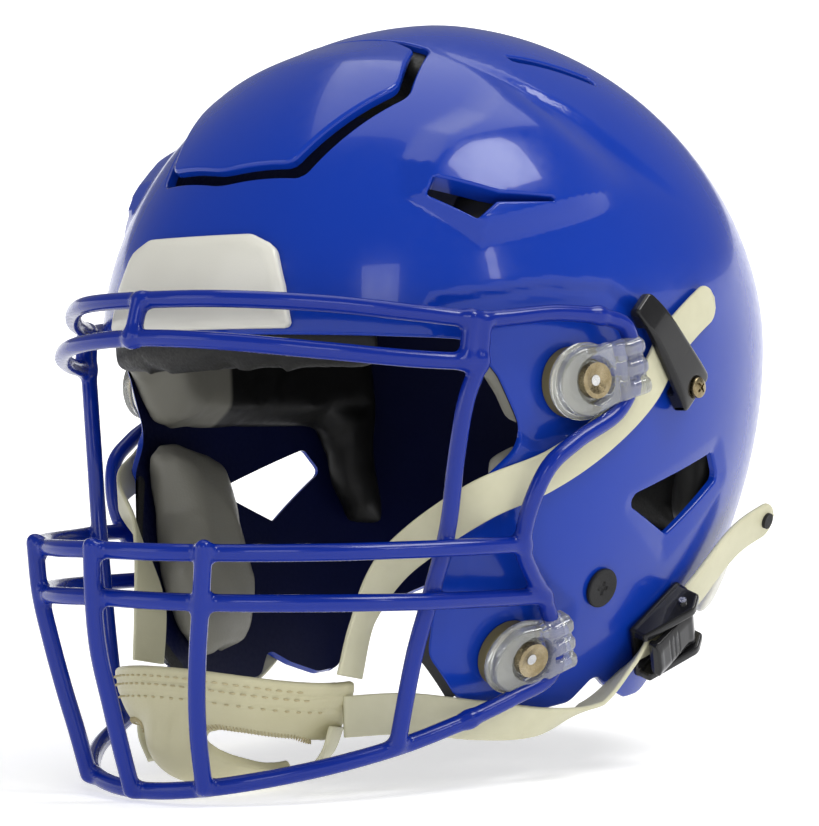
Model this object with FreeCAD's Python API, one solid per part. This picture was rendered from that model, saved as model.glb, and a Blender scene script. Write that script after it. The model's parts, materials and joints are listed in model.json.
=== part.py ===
import FreeCAD, Part
import math
import os
from FreeCAD import Matrix, Placement, Vector

# American football helmet: moulded shell with a flexing crown panel, wire face mask held by
# four quick-release clips, chin strap with buckles, and padded liner.
# Millimetres.  -Y is the face, +X the wearer's left, +Z up.  Z = 0 is the bottom of the chin bar.
# The pieces are drawn about the wearer's head and saved with the origin under the middle.

# ---- driving dimensions ------------------------------------------------------------------
HALF_WIDTH = 114.0        # shell, at its widest level
FRONT_REACH = 148.0       # shell centre to brow
REAR_REACH = 144.0        # shell centre to the back of the head
CENTRE_Y = 10.0           # widest point of the plan outline
BELT_Z = 164.0            # level where the shell is widest
CROWN_RISE = 129.0        # belt to crown
CROWN_POWER = 1.92        # roundness of the dome seen from the side
PLAN_POWER = 2.24         # roundness of the plan outline
JAW_TAPER = 0.15          # share of the width lost 100 mm below the belt
NAPE_TAPER = 0.26         # share of the rear reach lost 100 mm below the belt
FLOOR_Z = 0.0             # lowest level of the form
ORIGIN_Y = -17.75         # Y of the saved origin, half way along the helmet

SHELL_T = 4.0             # shell wall
PAD_GAP = 1.2             # shell to liner
PAD_T = 20.0              # liner thickness
PANEL_PROUD = 2.5         # flex panel above the shell
BUMPER_T = 5.0            # front and rear bumper mouldings
WIRE_R = 3.0              # mask wire
STRAP_W = 15.0            # chin strap webbing
STRAP_T = 1.8
POST_R = 4.0              # quick-release post
BUTTON_R = 2.0            # button in the middle of each post
RUN_CLEAR = 0.05          # radial clearance of running fits
TAU = 2.0 * math.pi


# ---- the shell's form --------------------------------------------------------------------
def reach(z, inset):
    """Half width, front reach and rear reach of the form at level z."""
    if z >= BELT_Z:
        rise = min((z - BELT_Z) / (CROWN_RISE - inset), 1.0)
        shrink = (1.0 - rise ** CROWN_POWER) ** (1.0 / CROWN_POWER)
        return (
            (HALF_WIDTH - inset) * shrink,
            (FRONT_REACH - inset) * shrink,
            (REAR_REACH - inset) * shrink,
        )
    drop = ((BELT_Z - z) / 100.0) ** 2
    return (
        HALF_WIDTH * (1.0 - JAW_TAPER * drop) - inset,
        FRONT_REACH - inset,
        REAR_REACH * (1.0 - NAPE_TAPER * drop) - inset,
    )


def section(z, inset):
    """Closed smooth outline of the form at level z."""
    half, front, rear = reach(z, inset)
    points = []
    for i in range(40):
        c = math.cos(TAU * i / 40)
        s = math.sin(TAU * i / 40)
        x = half * math.copysign(abs(c) ** (2.0 / PLAN_POWER), c)
        y = (rear if s > 0 else front) * math.copysign(abs(s) ** (2.0 / PLAN_POWER), s)
        points.append(Vector(x, CENTRE_Y + y, z))
    curve = Part.BSplineCurve()
    curve.interpolate(Points=points, PeriodicFlag=True)
    return Part.Wire(curve.toShape())


def form(inset):
    """Solid of the whole form, drawn in by inset on every side."""
    levels = [FLOOR_Z + (BELT_Z - FLOOR_Z) * i / 6 for i in range(7)]
    for degrees in (13, 26, 39, 51, 62, 71, 78, 83, 86.5):
        levels.append(BELT_Z + (CROWN_RISE - inset) * math.sin(math.radians(degrees)))
    return Part.makeLoft([section(z, inset) for z in levels], True, False)


def band(inset, low, high):
    """Solid of the form between two levels below the belt."""
    levels = [low + (high - low) * i / 6 for i in range(7)]
    return Part.makeLoft([section(z, inset) for z in levels], True, False)


def side_x(y, z):
    """X of the form's left side at (y, z)."""
    half, front, rear = reach(z, 0.0)
    along = abs(y - CENTRE_Y) / (rear if y > CENTRE_Y else front)
    return half * (1.0 - along ** PLAN_POWER) ** (1.0 / PLAN_POWER)


def side_frame(y, z, lean=0.0):
    """Matrix to a point on the form's left side: local X rearwards (leaning up by lean degrees),
    local Z outwards."""
    step = 0.5
    origin = Vector(side_x(y, z), y, z)
    along = Vector(side_x(y + step, z) - side_x(y - step, z), 2 * step, 0)
    up = Vector(side_x(y, z + step) - side_x(y, z - step), 0, 2 * step)
    outward = along.cross(up).normalize()
    rear = (along.normalize() * math.cos(math.radians(lean))
            + outward.cross(along).normalize() * math.sin(math.radians(lean)))
    over = outward.cross(rear)
    return Matrix(
        rear.x, over.x, outward.x, origin.x,
        rear.y, over.y, outward.y, origin.y,
        rear.z, over.z, outward.z, origin.z,
        0, 0, 0, 1,
    )


# ---- small makers ------------------------------------------------------------------------
def save(name, shape):
    """One node: every solid of the shape, in one STEP file."""
    solids = [s for s in shape.Solids if s.Volume > 0.5]
    out = solids[0] if len(solids) == 1 else Part.makeCompound(solids)
    out.translated(Vector(0, -ORIGIN_Y, 0)).exportStep("parts/%s.step" % name)


def mirror(shape):
    return shape.mirror(Vector(0, 0, 0), Vector(1, 0, 0))


def save_pair(name, left):
    save(name + "_left", left)
    save(name + "_right", mirror(left))


def placed(shape, matrix):
    out = shape.copy()
    out.Placement = Placement(matrix)
    return out


def box(x0, x1, y0, y1, z0, z1):
    return Part.makeBox(x1 - x0, y1 - y0, z1 - z0, Vector(x0, y0, z0))


def disc(radius, z0, z1, x=0.0, y=0.0):
    return Part.makeCylinder(radius, z1 - z0, Vector(x, y, z0), Vector(0, 0, 1))


def rounded(points, radii):
    """Closed polygon wire with its corners rounded."""
    count = len(points)
    edges = []
    ends = []
    for i in range(count):
        here = points[i]
        to_prev = points[i - 1] - here
        to_next = points[(i + 1) % count] - here
        turn = math.pi - to_prev.getAngle(to_next)
        cut = min(radii[i] * math.tan(turn / 2), 0.45 * to_prev.Length, 0.45 * to_next.Length)
        radius = cut / math.tan(turn / 2)
        start = here + to_prev.normalize() * cut
        stop = here + to_next.normalize() * cut
        inward = (to_prev + to_next).normalize()
        centre = here + inward * (radius / math.cos(turn / 2))
        middle = centre - inward * radius
        ends.append((start, middle, stop))
    for i in range(count):
        start, middle, stop = ends[i]
        edges.append(Part.Arc(start, middle, stop).toShape())
        edges.append(Part.makeLine(stop, ends[(i + 1) % count][0]))
    return Part.Wire(edges)


def prism(points, radii, sweep):
    """Solid swept from a rounded polygon; one radius may stand for all corners."""
    if not isinstance(radii, list):
        radii = [radii] * len(points)
    return Part.Face(rounded(points, radii)).extrude(sweep)


def side_prism(outline, radii, x0, x1):
    """Prism along X from (y, z) points."""
    return prism([Vector(x0, y, z) for y, z in outline], radii, Vector(x1 - x0, 0, 0))


def tube(points, radius, corner):
    """Round bar along straight runs joined by tangent arcs."""
    edges = []
    last = points[0]
    for i in range(1, len(points) - 1):
        here = points[i]
        to_prev = (points[i - 1] - here)
        to_next = (points[i + 1] - here)
        turn = math.pi - to_prev.getAngle(to_next)
        cut = min(corner * math.tan(turn / 2), 0.45 * to_prev.Length, 0.45 * to_next.Length)
        bend = cut / math.tan(turn / 2)
        start = here + to_prev.normalize() * cut
        stop = here + to_next.normalize() * cut
        inward = (to_prev + to_next).normalize()
        middle = here + inward * (bend / math.cos(turn / 2) - bend)
        edges.append(Part.makeLine(last, start))
        edges.append(Part.Arc(start, middle, stop).toShape())
        last = stop
    edges.append(Part.makeLine(last, points[-1]))
    path = Part.Wire(edges)
    profile = Part.Wire(Part.makeCircle(radius, points[0], points[1] - points[0]))
    return path.makePipeShell([profile], True, False)


def both_sides(half):
    """Full path from the right side through the centre to the left side."""
    return [Vector(-p[0], p[1], p[2]) for p in reversed(half) if p[0] > 0] + [Vector(*p) for p in half]


def ribbon(stations, width, thick):
    """Flat strap through (point, width direction, outward direction) stations."""
    wires = []
    for point, across, outward in stations:
        a = Vector(*across).normalize() * (width / 2)
        n = Vector(*outward)
        n = (n - a * (n.dot(a) / a.dot(a))).normalize() * (thick / 2)
        p = Vector(*point)
        wires.append(Part.makePolygon([p - a - n, p + a - n, p + a + n, p - a + n, p - a - n]))
    return Part.makeLoft(wires, True, True)


# ---- shell, panel and bumpers ------------------------------------------------------------
# Side outline of what the mould keeps: brow, temple, jaw flap, rear lobe and nape.
SHELL_OUTLINE = [
    (-170, 166.5), (-88, 163), (-77, 150), (-65, 127), (-79, 113), (-87, 88), (-90, 66),
    (-88, 48), (-73, 32), (-60, 27), (-42, 24), (-16, 27), (-6, 37), (5, 31), (20, 26),
    (32, 27), (41, 38), (72, 55), (100, 66), (170, 70), (170, 310), (-170, 310),
]
SHELL_CORNERS = [1, 10, 15, 12, 12, 12, 15, 12, 12, 12, 15, 8, 5, 8, 8, 8, 12, 20, 20, 1, 1, 1]

# Flex panel outline in its own plane: across X and up the slope.
PANEL_SLOPE = Vector(0, 0.8, 0.6)
PANEL_NORMAL = Vector(0, -0.6, 0.8)
PANEL_ROOT = 130.0
PANEL_HALF = [(30, 45), (47, 94), (34, 125), (22, PANEL_ROOT)]
SLOT_HALF = [(35, 41.5), (51, 93.5), (38, 129), (24, PANEL_ROOT + 0.4)]


def panel_prism(half, front, radii):
    right = [(-x, s) for x, s in reversed(half)]
    outline = [(0, front)] + half + right
    points = [Vector(x, 0, 0) + PANEL_SLOPE * s + PANEL_NORMAL * 120 for x, s in outline]
    return prism(points, radii, PANEL_NORMAL * 160)


V_VENT = [(-92, 214), (-88, 219.5), (-70, 214), (-32, 213), (-72, 211), (-80, 205)]
SIDE_VENT = [(-15, 104), (8, 92), (39, 114), (29, 120)]
TOP_SLIT = [(53, -18), (57, -18), (68, 22), (64, 22)]


def make_shell(outer, inner):
    wall = outer.cut(inner)
    wall = wall.common(side_prism(SHELL_OUTLINE, SHELL_CORNERS, -150, 150))
    wall = wall.cut(panel_prism(SLOT_HALF, 35.5, [30, 6, 12, 5, 1, 1, 5, 12, 6]))
    for x0, x1 in ((50, 150), (-150, -50)):
        wall = wall.cut(side_prism(V_VENT, 1.0, x0, x1))
        wall = wall.cut(side_prism(SIDE_VENT, 3.0, x0, x1))
    for side in (1, -1):
        slit = [Vector(side * x, y, 200) for x, y in TOP_SLIT]
        wall = wall.cut(prism(slit, 1.9, Vector(0, 0, 120)))
    return wall


def over_form(outer, thick_form, prism_solid):
    """Moulding that lies on the shell inside a prism."""
    return thick_form.cut(outer).common(prism_solid)


def front_prism(outline, radius):
    points = [Vector(x, -200, z) for x, z in outline]
    return prism(points, radius, Vector(0, 140, 0))


# ---- mask --------------------------------------------------------------------------------
# Half paths on the left, from the centre plane outwards.
BROW_UPPER = [
    (0, -160.6, 177.4), (34, -155, 177), (64, -134, 175), (86, -112, 171.8), (99, -91, 169.8),
    (109, -62, 172.5), (115.5, -44, 172),
]
SIDE_BAR = [
    (115.5, -44, 172), (118.5, -31, 168), (118.5, -27, 150), (117, -33, 138), (113.5, -55, 126.5),
    (110.5, -68, 117), (105, -73, 100), (101, -70.5, 88), (99, -63, 79), (97, -53, 70), (96, -47, 60),
    (95, -43, 50), (92, -43, 40), (87, -58, 33), (80.5, -76, 26),
]
CHIN_BAR = [(0, -164.2, 3.1), (28, -157.4, 5.3), (54, -132, 11), (70, -102, 18), (80.5, -76, 26)]
BROW_LOWER = [
    (0, -165.4, 163.7), (36, -159, 162), (66, -138, 158.5), (88, -112, 155.5), (99.6, -92.6, 154.7),
]
MOUTH_UPPER = [
    (0, -182.6, 89.2), (24, -179.4, 88.9), (46, -167.6, 88.7), (72, -142, 88.7), (88, -112, 89),
    (98, -88, 89.5), (101, -70.5, 89.5),
]
MOUTH_LOWER = [
    (0, -182, 72.5), (24, -178.8, 72), (45, -167.6, 71.5), (70, -141, 71), (86, -109, 70.5), (97, -53, 70),
]
EYE_BAR = [
    (99.8, -91.5, 168), (99, -93, 154.7), (95.4, -95.5, 142), (92, -97, 122), (88.6, -98, 96), (82.4, -101, 70),
    (77.8, -103.3, 52), (71, -105, 19.5),
]
SIDE_FRONT_BAR = [
    (42.4, -174.2, 90.5), (40.4, -173.5, 72), (36.9, -171.5, 54.9), (33.3, -168.4, 37.2), (30.8, -164.9, 22.7),
    (29, -160.5, 6.1),
]
CENTRE_FRONT_BAR = [
    (0, -186.5, 90.5), (0, -185.7, 72.3), (0, -183.3, 54), (0, -177.6, 35), (0, -173.2, 21), (0, -167.3, 3.7),
]
BROW_LINKS = [((0, -162.5, 177), (0, -166.5, 163)), ((98, -96, 170), (97.5, -98, 155))]


def make_mask():
    side = tube([Vector(*p) for p in SIDE_BAR], WIRE_R, 16)
    bars = {
        "mask_side_bar_left": side,
        "mask_side_bar_right": mirror(side),
        "mask_brow_bar_upper": tube(both_sides(BROW_UPPER), WIRE_R, 60),
        "mask_chin_bar": tube(both_sides(CHIN_BAR), WIRE_R, 50),
        "mask_brow_bar_lower": tube(both_sides(BROW_LOWER), WIRE_R, 60),
        "mask_mouth_bar_upper": tube(both_sides(MOUTH_UPPER), WIRE_R, 50),
        "mask_mouth_bar_lower": tube(both_sides(MOUTH_LOWER), WIRE_R, 50),
    }
    eye = tube([Vector(*p) for p in EYE_BAR], WIRE_R, 60)
    bars["mask_eye_bar_left"] = eye
    bars["mask_eye_bar_right"] = mirror(eye)
    front = tube([Vector(*p) for p in SIDE_FRONT_BAR], WIRE_R, 60)
    bars["mask_front_bar_left"] = front
    bars["mask_front_bar_right"] = mirror(front)
    bars["mask_front_bar_centre"] = tube([Vector(*p) for p in CENTRE_FRONT_BAR], WIRE_R, 60)
    welded = []
    for name in bars:
        bar = bars[name]
        for other in welded:
            if bar.BoundBox.intersect(other.BoundBox):
                bar = bar.cut(other)
        bars[name] = max(bar.Solids, key=lambda s: s.Volume)
        welded.append(bars[name])
    links = []
    centre_ends, side_ends = BROW_LINKS
    for low, high in (centre_ends, side_ends):
        run = Vector(*high) - Vector(*low)
        link = Part.makeCylinder(WIRE_R * 0.9, run.Length, Vector(*low), run)
        links.append(link)
    links.append(mirror(links[1]))
    trimmed = []
    for link in links:
        for other in welded:
            if link.BoundBox.intersect(other.BoundBox):
                link = link.cut(other)
        if link.Solids:
            trimmed.append(max(link.Solids, key=lambda s: s.Volume))
    bars["mask_brow_links"] = Part.makeCompound(trimmed)
    return bars


# ---- clips -------------------------------------------------------------------------------
# Post places on the left side (y, z), lean of the clip and distance from post to wire.
CLIPS = {"upper": (-44.6, 148.8, 15.0, 18.5), "lower": (-53.0, 49.5, 22.0, 13.0)}
CLIP_BASE = 2.6           # clip underside above the shell
CLIP_TOP = 9.0
GROMMET_R = 13.0
HEAD_R = 6.6


def make_clip(reach_back, outer, wires, frame):
    """Clear clip: a plate around the post with a loop round the mask wire."""
    half = 13.0
    plate = prism([Vector(-16, -8, CLIP_BASE), Vector(-8, -half, CLIP_BASE),
                   Vector(reach_back, -11, CLIP_BASE), Vector(reach_back, 11, CLIP_BASE),
                   Vector(-8, half, CLIP_BASE), Vector(-16, 8, CLIP_BASE)],
                  [6, 8, 2, 2, 8, 6], Vector(0, 0, CLIP_TOP - CLIP_BASE))
    loop = box(reach_back - 5, reach_back + 6, -10.5, 10.5, CLIP_BASE, CLIP_TOP + 3)
    clip = placed(plate.fuse(loop).cut(disc(HEAD_R + 0.6, 6.2, 20)).cut(disc(POST_R + 0.3, 0, 20)), frame)
    for wire in wires:
        clip = clip.cut(wire)
    return max(clip.cut(outer).Solids, key=lambda s: s.Volume)


def make_post():
    """Quick-release post: dished head with a button bore, shaft and groove."""
    post = disc(HEAD_R, 6.4, 9.4).fuse(disc(POST_R, -8.0, 6.4))
    dish = Part.makeCone(0.4, HEAD_R - 1.2, 2.0, Vector(0, 0, 7.6), Vector(0, 0, 1))
    return post.cut(dish).cut(disc(BUTTON_R + RUN_CLEAR, 0.0, 12.0))


def make_button():
    return disc(BUTTON_R, 1.9, 8.4)


def make_tee_nut():
    sleeve = disc(6.0, -SHELL_T - 2.6, -0.2).fuse(disc(10.0, -SHELL_T - 2.6, -SHELL_T - 0.9))
    return sleeve.cut(disc(POST_R, -12, 2))


# ---- buckles and straps ------------------------------------------------------------------
UPPER_BUCKLE = (-2.5, 160.5, -47.0)
LOWER_BUCKLE = (23.0, 54.0, 38.0)
LEVER_PIN = (7.5, 9.5)    # local X along the strap, local Z outwards
LEVER_HALF = 8.6
LEVER_CAM_R = 3.6
CHEEK_OUTLINE = [(-15, 3.2), (-15, 8), (7, 15), (14, 12), (14, 3.2)]


def make_upper_buckle():
    """Arched loop over the strap, with a screwed foot at each end."""
    arch = box(-24, 24, -7, 7, 0, 8).cut(box(-16, 15, -10, 10, -5, 4.6))
    arch = arch.cut(box(-30, -21, -10, 10, 5.5, 12)).common(disc(25.5, -5, 12))
    return arch.cut(disc(1.7, -10, 12, 19.5))


def make_upper_screw():
    return disc(1.7, -SHELL_T - 3, 8, 19.5).fuse(disc(4.0, 8, 10.2, 19.5))


def make_lower_buckle():
    """Cam buckle body: base, two sloping cheeks and a slot for the lever."""
    body = box(-15, 15, -13, 13, 0.6, 3.4)
    cheek_t = 13 - LEVER_HALF - 0.4
    for y in (-13, LEVER_HALF + 0.4):
        outline = [Vector(x, y, z) for x, z in CHEEK_OUTLINE]
        body = body.fuse(prism(outline, [0.5, 2, 4, 3, 0.5], Vector(0, cheek_t, 0)))
    bore = Part.makeCylinder(1.5, 30, Vector(LEVER_PIN[0], -15, LEVER_PIN[1]), Vector(0, 1, 0))
    return body.cut(bore)


def make_lever_pin():
    pin = Part.makeCylinder(1.5, 28, Vector(LEVER_PIN[0], -14, LEVER_PIN[1]), Vector(0, 1, 0))
    head = Part.makeCylinder(2.6, 1.6, Vector(LEVER_PIN[0], -15.4, LEVER_PIN[1]), Vector(0, 1, 0))
    return pin.fuse(head)


def make_lever():
    """Lever of the cam buckle: round cam at the pin and a flat thumb plate."""
    cam = Part.makeCylinder(LEVER_CAM_R, 2 * LEVER_HALF, Vector(LEVER_PIN[0], -LEVER_HALF, LEVER_PIN[1]),
                            Vector(0, 1, 0))
    plate = box(-14, LEVER_PIN[0], -LEVER_HALF, LEVER_HALF, LEVER_PIN[1] + 0.4, LEVER_PIN[1] + 3.6)
    bore = Part.makeCylinder(1.5 + RUN_CLEAR, 30, Vector(LEVER_PIN[0], -15, LEVER_PIN[1]),
                             Vector(0, 1, 0))
    return cam.fuse(plate).cut(bore)


# Strap stations: point, direction across the webbing, outward direction.
UPPER_STRAP = [
    ((51, -108, 42), (0.1, -0.9, 0.2), (1, 0, 0)),
    ((54, -104, 62), (0.2, -0.9, 0.3), (1, 0.2, 0)),
    ((62, -99, 80), (-0.1, -0.75, 0.6), (0.9, -0.4, 0.1)),
    ((72, -93, 91), (-0.3, -0.6, 0.75), (0.8, -0.5, 0.1)),
    ((92, -83, 105.5), (-0.3, -0.35, 0.9), (0.9, -0.5, 0)),
    ((104.2, -58, 116), (0, -0.5, 0.86), (1, -0.2, -0.1)),
    ((112.3, -35, 130), (0, -0.52, 0.85), (1, -0.1, 0)),
    ((115.9, -14, 146), (0, -0.62, 0.78), (1, 0, 0)),
    ((117.0, -2.5, 160.5), (0, -0.7, 0.7), (1, 0, 0)),
    ((115.9, 15, 172), (0, -0.45, 0.9), (1, 0.1, 0.1)),
    ((114.0, 33, 181), (0, -0.4, 0.9), (1, 0.15, 0.2)),
]
LOWER_STRAP = [
    ((49, -108, 28), (0, 0.1, 1), (1, 0.1, 0)),
    ((62, -90, 28.5), (0, 0.1, 1), (1, -0.3, 0)),
    ((74, -62, 24), (0.2, 0.1, 1), (1, -0.2, -0.2)),
    ((84.5, -35, 22), (0.6, -0.1, 0.6), (0.7, -0.1, -0.7)),
    ((90, -14, 27), (0.9, -0.3, 0.1), (0.1, 0.1, -1)),
    ((92.6, 6, 39), (0.8, -0.5, 0.3), (0.4, 0.2, -0.9)),
    ((96.4, 23, 54), (0.3, -0.6, 0.8), (1, 0.05, -0.35)),
    ((99.4, 39, 66.5), (0.3, -0.6, 0.8), (1, 0.1, -0.3)),
    ((104.0, 62, 86.5), (0.3, -0.5, 0.85), (1, 0.1, -0.3)),
    ((107, 86, 96), (0.3, -0.45, 0.87), (1, 0.1, -0.3)),
]
TAIL_RIVET = ((106.4, 81, 94.0), (1, 0.1, -0.3))

CUP_CENTRE = Vector(0, -108, 42)
CUP_RADII = (53.0, 44.0, 38.0)
CUP_T = 6.0


def ellipsoid(centre, radii):
    ball = Part.makeSphere(1.0)
    stretch = Matrix(radii[0], 0, 0, centre.x, 0, radii[1], 0, centre.y, 0, 0, radii[2], centre.z,
                     0, 0, 0, 1)
    return ball.transformGeometry(stretch)


def make_cup():
    outer = ellipsoid(CUP_CENTRE, CUP_RADII)
    inner = ellipsoid(CUP_CENTRE, [r - CUP_T for r in CUP_RADII])
    keep = box(-60, 60, -170, -104, 0, 43)
    vent = prism([Vector(-26, -130, 18), Vector(26, -130, 18), Vector(14, -130, 10),
                  Vector(-14, -130, 10)], 3, Vector(0, -60, 0))
    return outer.cut(inner).common(keep).cut(vent)


# ---- liner -------------------------------------------------------------------------------
PAD_SPLIT = 2.0           # half the gap between neighbouring pads
# Side outline of the liner; it stops above the side vents.
LINER_OUTLINE = [
    (-170, 148), (-84, 150), (-68, 128), (-20, 125), (46, 125), (56, 84), (120, 78), (170, 78),
    (170, 310), (-170, 310),
]
JAW_PAD_OUTLINE = [(-74, 119), (-24, 119), (-30, 92), (-28, 56), (-38, 36), (-68, 36), (-77, 50), (-76, 87)]


def make_pads(hardware):
    """Liner pads between the shell and the head, cut back from the fasteners."""
    outside = form(SHELL_T + PAD_GAP)
    inside = form(SHELL_T + PAD_GAP + PAD_T)
    outline = side_prism(LINER_OUTLINE, 5, -150, 150)
    crown = box(-56, 56, -62, 80, 180, 320)
    front = box(-73, 73, -170, -66, 140, 230)
    rear = box(-56, 56, 84, 170, 78, 300)
    side = box(60, 150, -120, 78, 84, 230)
    side = side.cut(box(0, 77, -170, -62, 80, 240)).cut(box(0, 60, -62, 84, 80, 320))
    zones = {"front_pad": front, "crown_pad": crown, "rear_pad": rear, "side": side}
    pads = {}
    for name, zone in zones.items():
        pads[name] = outside.common(zone.common(outline)).cut(inside).cut(hardware)
    jaw_zone = side_prism(JAW_PAD_OUTLINE, 9, 20, 150)
    jaw_layer = band(SHELL_T + PAD_GAP, 20, 130).common(jaw_zone)
    pads["jaw"] = jaw_layer.cut(band(SHELL_T + PAD_GAP + PAD_T - 2, 20, 130)).cut(hardware)
    return pads


def main():
    os.makedirs("parts", exist_ok=True)
    outer = form(0.0)
    inner = form(SHELL_T)
    shell = make_shell(outer, inner)

    # posts, tee nuts and their holes
    frames = {name: side_frame(y, z, lean) for name, (y, z, lean, back) in CLIPS.items()}
    hardware = []
    for name, frame in frames.items():
        hole = placed(disc(6.0, -30, 20), frame)
        shell = shell.cut(hole).cut(mirror(hole))
        flange = placed(disc(11.0, -SHELL_T - 5, -SHELL_T), frame)
        hardware += [flange, mirror(flange)]
    upper_buckle_frame = side_frame(*UPPER_BUCKLE)
    lower_buckle_frame = side_frame(*LOWER_BUCKLE)
    screw = placed(make_upper_screw(), upper_buckle_frame)
    screw_hole = placed(disc(1.7, -SHELL_T - 8, 2, 19.5), upper_buckle_frame)
    shell = shell.cut(screw_hole).cut(mirror(screw_hole))
    hardware += [screw_hole, mirror(screw_hole)]
    plug_frame = side_frame(-19.8, 71.7)
    plug = placed(disc(7.6, 0.2, 2.0).fuse(disc(4.0, -SHELL_T - 1, 0.6)), plug_frame)
    plug_hole = placed(disc(4.0, -20, 5), plug_frame)
    shell = shell.cut(plug_hole).cut(mirror(plug_hole))
    save("shell", shell)

    panel_wall = form(-PANEL_PROUD).cut(form(SHELL_T - PANEL_PROUD))
    panel = panel_wall.common(panel_prism(PANEL_HALF, 40, [30, 6, 12, 5, 2, 2, 5, 12, 6]))
    save("front_flex_panel", panel)

    thick = form(-BUMPER_T)
    front_outline = [(-44, 167), (44, 167), (40.5, 182), (35, 196), (25, 200.5), (-25, 200.5),
                     (-35, 196), (-40.5, 182)]
    save("front_bumper", over_form(outer, thick, front_prism(front_outline, [2, 2, 8, 8, 8, 8, 8, 8])))
    rear_prism = prism([Vector(-72, 60, 70.5), Vector(72, 60, 70.5), Vector(66, 60, 92),
                        Vector(-66, 60, 92)], 6, Vector(0, 120, 0))
    save("rear_bumper", over_form(outer, thick, rear_prism))

    # black edge trim inside the jaw's front edge
    trim_zone = side_prism([(-76, 113), (-87, 88), (-90, 66), (-88, 48), (-73, 32), (-68, 36), (-82, 50),
                            (-84.5, 66), (-81.5, 88), (-71, 110)], 2, 20, 150)
    trim = form(SHELL_T + 0.1).cut(form(SHELL_T + 1.2)).common(trim_zone)
    save_pair("jaw_trim", trim)

    bars = make_mask()
    for name, bar in bars.items():
        save(name, bar)
    welded = [bars[n] for n in bars if n != "mask_brow_links"]

    clips = []
    grommets = []
    tee_nuts = []
    for name, (y, z, lean, back) in CLIPS.items():
        frame = frames[name]
        clip = make_clip(back, outer, welded, frame)
        clips.append(clip)
        save_pair(name + "_clip", clip)
        save_pair(name + "_post", placed(make_post(), frame))
        save_pair(name + "_release_button", placed(make_button(), frame))
        washer = placed(disc(GROMMET_R, -1.5, CLIP_BASE, -4.0).cut(disc(POST_R, -3, 5)), frame)
        washer = washer.cut(outer)
        grommets += [washer, mirror(washer)]
        nut = placed(make_tee_nut(), frame).cut(shell)
        tee_nuts += [nut, mirror(nut)]
    save("clip_grommets", Part.makeCompound(grommets))
    save("tee_nuts", Part.makeCompound(tee_nuts))

    plug = plug.cut(shell)
    save("jaw_plugs", Part.makeCompound([plug, mirror(plug)]))

    buckle = placed(make_upper_buckle(), upper_buckle_frame).cut(outer)
    save_pair("upper_buckle", max(buckle.Solids, key=lambda s: s.Volume))
    save("upper_buckle_screws", Part.makeCompound([screw, mirror(screw)]))
    lower = placed(make_lower_buckle(), lower_buckle_frame).cut(outer)
    save_pair("lower_buckle", lower)
    save_pair("lower_buckle_lever", placed(make_lever(), lower_buckle_frame))
    save_pair("lower_buckle_pin", placed(make_lever_pin(), lower_buckle_frame))

    cup = make_cup()
    save("chin_cup", cup)
    lever_space = placed(box(-25, 14, -LEVER_HALF - 0.3, LEVER_HALF + 0.3, 4.0, 20), lower_buckle_frame)
    point, outward = TAIL_RIVET
    aim = Vector(*outward).normalize()
    rivet = Part.makeCylinder(3.2, 1.4, Vector(*point) + aim * (STRAP_T / 2), aim)
    strap_blocks = [outer, cup, buckle, lower, lever_space, rivet] + clips + welded
    for name, stations in (("upper_strap", UPPER_STRAP), ("lower_strap", LOWER_STRAP)):
        strap = ribbon(stations, STRAP_W, STRAP_T)
        for block in strap_blocks:
            strap = strap.cut(block)
        save_pair(name, max(strap.Solids, key=lambda s: s.Volume))
    save("strap_tail_rivets", Part.makeCompound([rivet, mirror(rivet)]))

    pads = make_pads(Part.makeCompound(hardware))
    for name in ("front_pad", "crown_pad", "rear_pad"):
        save(name, pads[name])
    save_pair("side_pad", pads["side"])
    save_pair("jaw_pad", pads["jaw"])


main()
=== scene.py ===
import json
import math

import bmesh
import bpy
import numpy as np
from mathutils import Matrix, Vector

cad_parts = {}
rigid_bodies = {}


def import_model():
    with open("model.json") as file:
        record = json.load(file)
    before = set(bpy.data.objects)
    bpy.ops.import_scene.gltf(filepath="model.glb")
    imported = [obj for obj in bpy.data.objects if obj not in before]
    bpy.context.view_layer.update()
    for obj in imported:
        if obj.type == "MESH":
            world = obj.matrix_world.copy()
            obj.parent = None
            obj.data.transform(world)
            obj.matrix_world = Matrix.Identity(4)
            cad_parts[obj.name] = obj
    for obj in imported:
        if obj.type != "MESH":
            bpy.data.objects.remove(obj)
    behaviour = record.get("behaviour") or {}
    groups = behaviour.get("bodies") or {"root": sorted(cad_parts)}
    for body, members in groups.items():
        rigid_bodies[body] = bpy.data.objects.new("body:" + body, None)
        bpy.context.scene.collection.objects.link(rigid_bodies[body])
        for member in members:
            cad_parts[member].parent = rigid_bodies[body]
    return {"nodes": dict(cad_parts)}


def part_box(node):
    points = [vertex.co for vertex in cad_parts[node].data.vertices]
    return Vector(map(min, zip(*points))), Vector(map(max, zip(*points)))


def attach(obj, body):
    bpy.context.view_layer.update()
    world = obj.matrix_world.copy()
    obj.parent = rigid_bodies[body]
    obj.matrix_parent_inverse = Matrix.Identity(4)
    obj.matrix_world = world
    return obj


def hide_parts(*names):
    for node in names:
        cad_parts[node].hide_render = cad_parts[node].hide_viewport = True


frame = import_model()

for leftover in [o for o in bpy.data.objects if o.name in ("Cube", "Light", "Camera")]:
    bpy.data.objects.remove(leftover)
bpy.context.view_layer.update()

# American football helmet.  Shapes are worked out in millimetres about the wearer's head, as the
# CAD model draws them (-Y face, +X wearer's left, +Z up), and placed with the frame's origin.

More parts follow.
